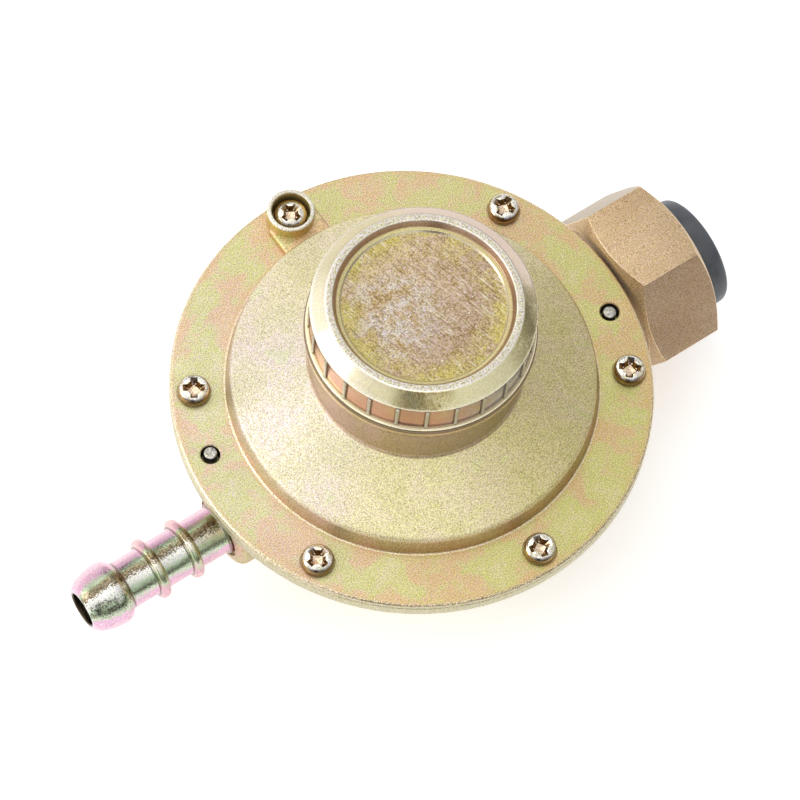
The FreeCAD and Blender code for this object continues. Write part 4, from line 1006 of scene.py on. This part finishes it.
def hole_shade_material():
    material, place = fresh("painted_hole_shade")
    tone, speck = grains(place, 0.5)
    shade(Base_Color=mix(1.0, paint(58, 48, 40), tone, "MULTIPLY"), Metallic=0.2,
          Roughness=span(speck, 0.3, 0.7, 0.6, 0.8), Normal=bump(speck, 0.03))
    return material


def in_pin_hole(face, spot):
    near = min((spot.xy - Vector(round_spot(bearing, PIN_CIRCLE))).length for bearing in PIN_BEARINGS)
    return near < 1.85 and spot.z < FLANGE - 0.1


dress(cover, hole_shade_material(), in_pin_hole)

# %% [markdown]
# The cap wears the same film, but it is handled and its zones differ: a grainy disc with scratches, a
# ledge, a rough grey rim, a glossy bevel, salmon panels between silver ribs, and a browner collar. The
# zones are rings, so colour ramps over the radius and the height place them.

# %% Cap finish


def rings(radius, stops, low=13.0, high=21.0):
    """A colour ramp over the radius in millimetres."""
    return ramp(span(radius, low, high), [((place - low) / (high - low), colour) for place, colour in stops])


def disc_colour(place, spot, blotch, frayed):
    """The sunk disc: brown blotches, a worn silver patch, moss green towards the edge and painted shade on the
    right.
    """
    radius, x, y, _ = spot
    disc = painted(blotch, [
        (0.36, 176, 150, 104), (0.46, 196, 174, 142), (0.56, 204, 182, 158),
        (0.68, 198, 180, 150),
    ])
    off = compare("DISTANCE", place, Vector((-5.4, 1.5, 60.8)) * MM)
    disc = mix(span(off, 10 * MM, 4 * MM) * span(blotch, 0.46, 0.56) * 0.55, disc, paint(212, 212, 214))
    # Painted shade: the disc is darker towards the right.
    disc = tinted(span(x * 0.643 - y * 0.766, -4, 9), disc, (0.80, 0.77, 0.78))
    moss = span(noise(place, 4.2, 5.0, 0.65) + frayed, 0.40, 0.56) * span(radius, 9.0, 13.4)
    return mix(moss, disc, paint(198, 184, 112))


def side_colour(place, spot, blotch, speck, across):
    """The cap's side: collar, groove, bead, and the band of panels between ribs."""
    radius, x, y, z = spot
    # Painted reflection: panels turned away from the lamp, on the right, are painted grey instead of salmon.
    turned_away = span(across + noise(place, 3.0, 5.0, 0.7) * 12, 9, 19)
    panel = mix(turned_away, paint(222, 172, 152), paint(204, 204, 206))
    panel = mix(span(blotch, 0.54, 0.60) * 0.6, panel, paint(222, 196, 150))
    angle = maths("ARCTAN2", y, x) - math.radians(RIB_START)
    beside = maths("PINGPONG", angle, math.pi / RIBS) * radius
    # Painted shade: dark lines beside the feet of the ribs.
    foot = between(beside, 0.30, 0.54, 0.04) * span(radius, 19.5, 19.4)
    panel = mix(foot * 0.7, panel, paint(112, 92, 70))
    band = mix(span(radius, 19.35, 19.45), panel, paint(206, 204, 196))
    # Painted shade: dark lines under the bevel's lip and along the band's foot.
    shade_lines = either(between(z, BAND_TOP - 0.62, BAND_TOP - 0.44, 0.03),
                  between(z, BAND_FOOT - 0.02, BAND_FOOT + 0.16, 0.03))
    band = mix(shade_lines * 0.75, band, paint(96, 78, 56))
    collar = painted(noise(place, 4.0), [(0.4, 224, 204, 158), (0.6, 232, 202, 180)])
    # The shelf under the band is painted shade, lighter on the lit side, and the bead's outer edge a painted
    # highlight.
    shelf = mix(span(facing(spot, LIT_SIDE), 0.3, 0.9), paint(192, 174, 136), paint(226, 210, 166))
    shelf = mix(span(radius, 19.72, 19.82), shelf, paint(244, 236, 212))
    collar = mix(span(z, BAND_FOOT - 0.6, BAND_FOOT - 0.5), collar, shelf)
    # Painted shade: a dark line in the groove under the bead. A dark dotted line also runs round the collar's
    # lower edge.
    groove = between(z, BAND_FOOT - 1.2, BAND_FOOT - 0.5, 0.04)
    hem = span(z, CAP_FOOT + 1.1, CAP_FOOT + 0.95) * span(speck, 0.58, 0.50)
    collar = mix(either(groove, hem) * 0.8, collar, paint(92, 76, 52))
    return mix(span(z, BAND_FOOT - 0.02, BAND_FOOT + 0.08), collar, band)


def cap_material():
    material, place = fresh("handled_cap")
    spot = spot_of(place)
    radius, x, y, z = spot
    inside = span(radius, 14.2, 14.1)
    across = x * 0.82 + y * -0.57
    away = x * 0.54 + y * 0.84
    tone, speck = grains(place, 0.30)
    frayed = (speck - 0.5) * 0.30
    blotch = noise(place, 3.2, 6.0, 0.72, 0.3) + frayed

    zones = rings(radius, [(place, paint(*colour)) for place, *colour in (
        (14.10, 208, 192, 140), (14.25, 240, 232, 200), (14.60, 210, 198, 142),
        (15.00, 208, 192, 144), (15.10, 190, 160, 122), (15.60, 206, 178, 156),
        (15.75, 242, 240, 228), (15.95, 213, 207, 191), (16.70, 219, 213, 199),
        (16.90, 248, 246, 236), (17.20, 234, 222, 198), (18.00, 240, 232, 200),
        (18.90, 240, 230, 206), (19.20, 250, 246, 232),
    )])
    on_bevel = span(radius, 16.9, 17.1) * span(z, 60.2, 60.3)
    sheen = (noise(place, 7.0, 4.0, 0.6, 0.3) - 0.5) * 22
    rosy = span(across * 0.6 + away * 0.8 + sheen, 9, 15, 0.0, 0.75)
    lemon = span(across * 0.6 - away * 0.8 + sheen, 4, 14, 0.0, 0.8)
    zones = mix(on_bevel * rosy, zones, paint(232, 208, 214))
    zones = mix(on_bevel * lemon, zones, paint(236, 226, 172))
    # Painted light and shade on the bevel by side: darker on the far side, the lit side's highlight toned down at
    # its edges, and brighter on the near side.
    zones = tinted_by_side(spot, zones, [(42, -0.1, 0.85, (0.74, 0.70, 0.62))], on_bevel)
    lit = facing(spot, LIT_SIDE)
    zones = tinted(span(lit, 0.97, 0.75) * span(lit, -0.1, 0.3) * on_bevel, zones, (0.81, 0.80, 0.74))
    zones = tinted_by_side(spot, zones, [
        (42, 0.3, 0.9, (0.88, 0.89, 0.83)),
        (266, 0.88, 0.98, (1.12, 1.15, 1.22)),
    ], on_bevel)
    # Painted shade: the ledge and its wall are darker on the right.
    zones = tinted_by_side(spot, zones, [(350, 0.2, 0.8, (0.72, 0.68, 0.70))], span(radius, 15.7, 15.6))
    # A painted dark reflection in olive patches on the bevel's near side.
    near = (x * -0.545 + y * -0.838) / radius
    near_dark_reflection = span(near + frayed * 0.35, 0.955, 0.985) * on_bevel * span(blotch, 0.60, 0.46)
    zones = mix(near_dark_reflection * 0.45, zones, paint(150, 120, 52))
    # Painted shade: dark streaks on the bevel's shaded side.
    shaded_streaks = span(facing(spot, 318), 0.86, 0.97) * on_bevel * span(blotch, 0.56, 0.46)
    zones = mix(shaded_streaks * 0.45, zones, paint(142, 122, 70))
    top = mix(inside, zones, disc_colour(place, spot, blotch, frayed))
    side = side_colour(place, spot, blotch, speck, across)
    base = mix(span(z, BAND_TOP - 0.44, BAND_TOP - 0.42), side, top)

    rough_zone, grain_zone = (rings(radius, [(place, grey(value)) for place, value in stops]) for stops in (
        [(14.1, 0.46), (14.2, 0.22), (15.75, 0.22), (15.95, 0.46), (16.7, 0.46), (16.95, 0.14), (19.0, 0.16)],
        [(14.1, 0.9), (14.2, 0.35), (15.75, 0.4), (15.95, 1.0), (16.7, 1.0), (16.95, 0.22), (19.3, 0.26)],
    ))
    grain = mix(near_dark_reflection, grain_zone, grey(1.0))
    base = mix(grain, base, mix(1.0, base, tone, "MULTIPLY"))

    slant = Wire(add("ShaderNodeMapping", {"vector_type": "TEXTURE"}, Vector=place,
                     Rotation=(0, 0, math.radians(104)), Scale=(9.0, 1.0, 1.0)).outputs[0])
    stroke = noise(slant, 0.30, 2.0, 0.6)
    base = mix(span(stroke, 0.60, 0.68) * inside * 0.6, base, paint(236, 230, 214))
    base = mix(span(stroke, 0.40, 0.32) * inside * 0.7, base, paint(132, 106, 74))
    sparkle = span(noise(place, 0.45, 1.0), 0.70, 0.74) * inside
    base = mix(sparkle * 0.8, base, paint(250, 248, 240))
    shade(Base_Color=base, Metallic=0.85, Roughness=rough_zone + (blotch - 0.5) * 0.12,
          Normal=bump(stroke, 0.02, 0.4, Normal=bump(speck * grain, 0.05, 0.7)))
    return material


wear(cap_material(), cap)

# %% [markdown]
# The nut is brass blasted with glass beads: no patches, an even tan colour and a dull, sandy surface,
# with painted highlights along its edges. The plated screws are smoother and silver on top; their sides and
# the lower part with the recess are painted golden brown, a painted reflection of the casting round them
# and painted shade in the recess, and their front slopes carry a painted dark reflection.

# %% Nut, screws and plain metals


def metal(name, low, high, size, rough, grain=0.3, depth=0.01, metallic=1.0, share=0.3,
          side=None, below=None, sheen=0.0, tints=()):
    """A metal with specks. It may have a colour for walls, one below a height, and tints by the normal."""
    material, place = fresh(name)
    base = painted(noise(place, size), [(0.35, *low), (0.65, *high)])
    if below:
        base = mix(span(parts(place)[2] / MM, below + 0.1, below - 0.1), base, paint(226, 202, 176))
    if side:
        base = mix(steepness(0.90, 0.60), base, paint(*side))
    tone, speck = grains(place, grain, share)
    base = mix(1.0, base, tone, "MULTIPLY")
    for way, colour in tints:
        base = tinted(span(compare("DOT_PRODUCT", source("Normal"), way), 0.80, 0.95), base, colour)
    shade(Base_Color=base, Metallic=metallic, Roughness=span(noise(place, size * 0.8, 2.0), 0.3, 0.7, *rough),
          Normal=bump(speck, depth, 0.6), Sheen_Weight=sheen, Sheen_Roughness=0.4)
    return material


def screw_metal(name, below):
    # Painted reflection and shade: walls and everything below a height are golden brown, a painted reflection of
    # the casting round the heads and painted shade in the recess, and slopes facing the front carry a painted dark
    # reflection.
    return metal(name, (216, 208, 188), (246, 246, 244), 1.0, (0.10, 0.20), depth=0.02, share=0.8,
                 side=(160, 134, 94), below=below, tints=[((-0.40, -0.62, 0.67), (0.42, 0.42, 0.46))])


shadows = [((0, -0.833, 0.553), (0.66, 0.64, 0.65)), ((0, 0.895, 0.446), (0.66, 0.72, 0.84))]
blasted = metal("blasted_brass", (206, 178, 142), (214, 188, 154), 9.0, (0.46, 0.54), 0.20, 0.07, 0.8, 1.0,
                sheen=0.3, tints=shadows)
# Painted highlights for the nut's narrow edge strips: a lighter, glossier brass.
edge_highlight = metal("edge_highlight_brass", (238, 212, 172), (250, 228, 194), 1.0, (0.22, 0.34), 0.26, 0.02, share=0.6)
bright = metal("bright_steel", (150, 148, 142), (216, 214, 208), 0.5, (0.3, 0.4), 0.26, 0.02, share=1.0)
brass = metal("turned_brass", (214, 184, 122), (224, 198, 140), 2.0, (0.22, 0.32), depth=0.006)
aluminium = metal("plain_aluminium", (212, 212, 214), (226, 226, 228), 2.0, (0.3, 0.4), depth=0.008)
plated = screw_metal("plated_steel", HEAD_GOLD)
wear(blasted, nut, nut_thread)
wear(plated, cover_screws)
wear(screw_metal("sunk_steel", HEAD_GOLD + SUNK_LIFT), boss_screw)
wear(bright, locating_pins, spring)
wear(brass, nipple, strainer, adjuster)
wear(aluminium, washer)

# %% Painted highlights on the nut's edges
EDGE_WIDTH = 0.15


def is_edge_strip(face, spot):
    longest = max(edge.calc_length() for edge in face.edges)
    away = math.hypot(spot.y, spot.z - AXIS)
    return face.calc_area() / longest < EDGE_WIDTH * MM and away > 13.5


dress(nut, edge_highlight, is_edge_strip)

# %% [markdown]
# Fresh chromate on smooth turned metal is a rainbow film. On the barb its colours lie in long bands:
# green along the top with a white painted highlight, grey-brown bands of painted dark reflection, and
# magenta down both sides. The angle round the barb's own axis places the bands, and noise frays them.

# %% Barb finish


def rainbow():
    material, place = fresh("rainbow_plating")
    x, y, z = (part / MM for part in parts(place))
    z = z - AXIS
    radius = maths("SQRT", y * y + z * z)
    tone, speck = grains(place, 0.28, 0.45, dark=(0.40, 0.38, 0.34), light=grey(1.2))
    long_place = Wire(add("ShaderNodeMapping", Vector=place, Scale=(0.4, 1.0, 1.0)).outputs[0])
    fray = (noise(long_place, 1.8, 4.0, 0.65, 0.4) - 0.5) * 0.5 + (speck - 0.5) * 0.7
    share = span((y * -0.941 + z * -0.339) / radius + fray, -1.0, 1.0)
    # The white band is a painted highlight and the grey-brown bands are painted dark reflections.
    base = painted(share, [
        (0.08, 226, 192, 206), (0.17, 218, 168, 198), (0.24, 172, 200, 166),
        (0.31, 150, 136, 110), (0.40, 158, 144, 118), (0.47, 250, 250, 246),
        (0.58, 246, 246, 240), (0.66, 196, 222, 186), (0.74, 150, 148, 128),
        (0.80, 192, 214, 182), (0.90, 216, 168, 202), (0.97, 228, 192, 208),
    ])
    gold = span(radius, 4.75, 4.95) * span(x, -60.5, -60.3)
    base = tinted(gold * 0.25, base, paint(236, 214, 150))
    # Painted dark reflections: dark flecks in a band along the top, near the body and on the bulb.
    flecks = span(noise(place, 0.42, 3.0, 0.8), 0.46, 0.54)
    upper = span(share, 0.27, 0.32) * span(share, 0.44, 0.40)
    body_end = span(x, -47.0, -45.5) * span(share, 0.30, 0.36) * span(share, 0.60, 0.48)
    on_bulb = span(x, -61.4, -62.4) * span(share, 0.52, 0.58) * span(share, 0.80, 0.72)
    base = mix(either(upper, body_end, on_bulb) * flecks * 0.75, base, paint(72, 62, 52))
    # Painted shade in the crease where the bulb meets the pipe.
    crease = between(radius, 4.60, 4.95, 0.05) * span(x, -61.6, -61.4)
    base = mix(crease * 0.75, base, paint(96, 78, 58))
    # Painted shade inside the bore.
    base = mix(span(radius, 3.6, 3.35), base, paint(86, 76, 62))
    shade(Base_Color=mix(1.0, base, tone, "MULTIPLY"), Metallic=1.0,
          Roughness=span(noise(place, 2.0, 2.0), 0.3, 0.7, 0.10, 0.22), Normal=bump(speck, 0.05, 0.8))
    return material


wear(rainbow(), barb)

# %% [markdown]
# The plug is dark slate plastic with a faint moulded texture, and the gasket and seals are black rubber.

# %% Plastic, rubber and the pieces inside


def soft_stuff(name, low, high, rough, depth, size=0.4):
    material, place = fresh(name)
    shade(Base_Color=ramp(noise(place, size * 8), [(0.35, low), (0.65, high)]),
          Roughness=span(noise(place, size * 4, 2.0), 0.3, 0.7, rough, rough + 0.12),
          Normal=bump(noise(place, size), depth, 0.5))
    return material


rubber = soft_stuff("black_rubber", grey(0.012), grey(0.022), 0.6, 0.015)
wear(soft_stuff("slate_plastic", (0.060, 0.068, 0.080), (0.085, 0.094, 0.108), 0.32, 0.01), plug)
wear(rubber, gasket, seal, dish)
for material, names in (
    (rubber, ("valve_pad", "barb_seal")),
    (plated, ("lower_plate", "spring_seat", "stem_nut", "lever", "spring_top_plate")),
    (brass, ("diaphragm_stem", "valve_plunger", "inlet_jet")),
    (bright, ("lever_pin",)),
):
    wear(material, *(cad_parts[name] for name in names))

# %% [markdown]
# A catalogue picture has a white ground and big soft lamps. The ground here is a pale floor. The world is
# white with dark shapes for the glossy metal to reflect. One large lamp hangs overhead and behind, so the
# flat tops catch it, and another stands to the left, which gives the cone and the cap's bevel their
# bright side.

# %% Floor
rest()
bpy.ops.mesh.primitive_plane_add(size=3.0, location=(0, 0, -0.0001))
floor = bpy.context.object
floor.name = "floor"
floor_paint, _ = fresh("pale_floor")
shade(Base_Color=grey(0.95), Roughness=0.9, Emission_Color=grey(1.0), Emission_Strength=0.38)
wear(floor_paint, floor)

# %% World
world = bpy.data.worlds.new("studio")
scene.world = world
world.use_nodes = True
tree = world.node_tree
way = source("Generated")


def towards(*direction):
    """How much a ray points in a direction, from -1 to 1."""
    return compare("DOT_PRODUCT", way, Vector(direction).normalized())


height = towards(0, 0, 1)
aside = maths("ABSOLUTE", towards(0.74, -0.67, 0))
pillar = span(aside, 0.22, 0.12) * span(towards(-0.67, -0.74, 0), 0.48, 0.56)
behind = span(towards(0.29, 0.73, 0.62), 0.965, 0.99)
low_front = span(height, 0.02, 0.08) * span(height, 0.30, 0.22) * span(towards(0.3, -0.95, 0), 0.66, 0.85)
line = span(height, 0.04, 0.08) * span(height, 0.24, 0.18) * span(towards(1, -0.2, 0), 0.1, 0.5, 0.0, 0.85)
dark = either(pillar, behind, low_front, line)
glow = span(towards(-0.70, 0.62, 0.35), -0.7, 0.9, 0.60, 1.2)
zenith = span(towards(-0.25, -0.28, 0.93), 0.90, 0.99, 1.0, 1.55)
sky = tree.nodes["Background"]
feed(sky.inputs["Color"], grey(1.0))
feed(sky.inputs["Strength"], glow * zenith * span(dark, 0.0, 1.0, 1.0, 0.16))
scene.view_settings.view_transform = "Standard"

# %% Lamps


def lamp(name, place, size, power):
    """A square lamp aimed at the regulator."""
    data = bpy.data.lights.new(name, "AREA")
    data.size = size
    data.energy = power
    made = bpy.data.objects.new(name, data)
    scene.collection.objects.link(made)
    made.location = place
    made.rotation_mode = "QUATERNION"
    made.rotation_quaternion = (Vector((0, 0, 0.03)) - Vector(place)).to_track_quat("-Z", "Y")


lamp("overhead", (0.04, 0.36, 0.75), 0.45, 0.45)
lamp("left", (-0.65, 0.30, 0.40), 0.4, 1.5)
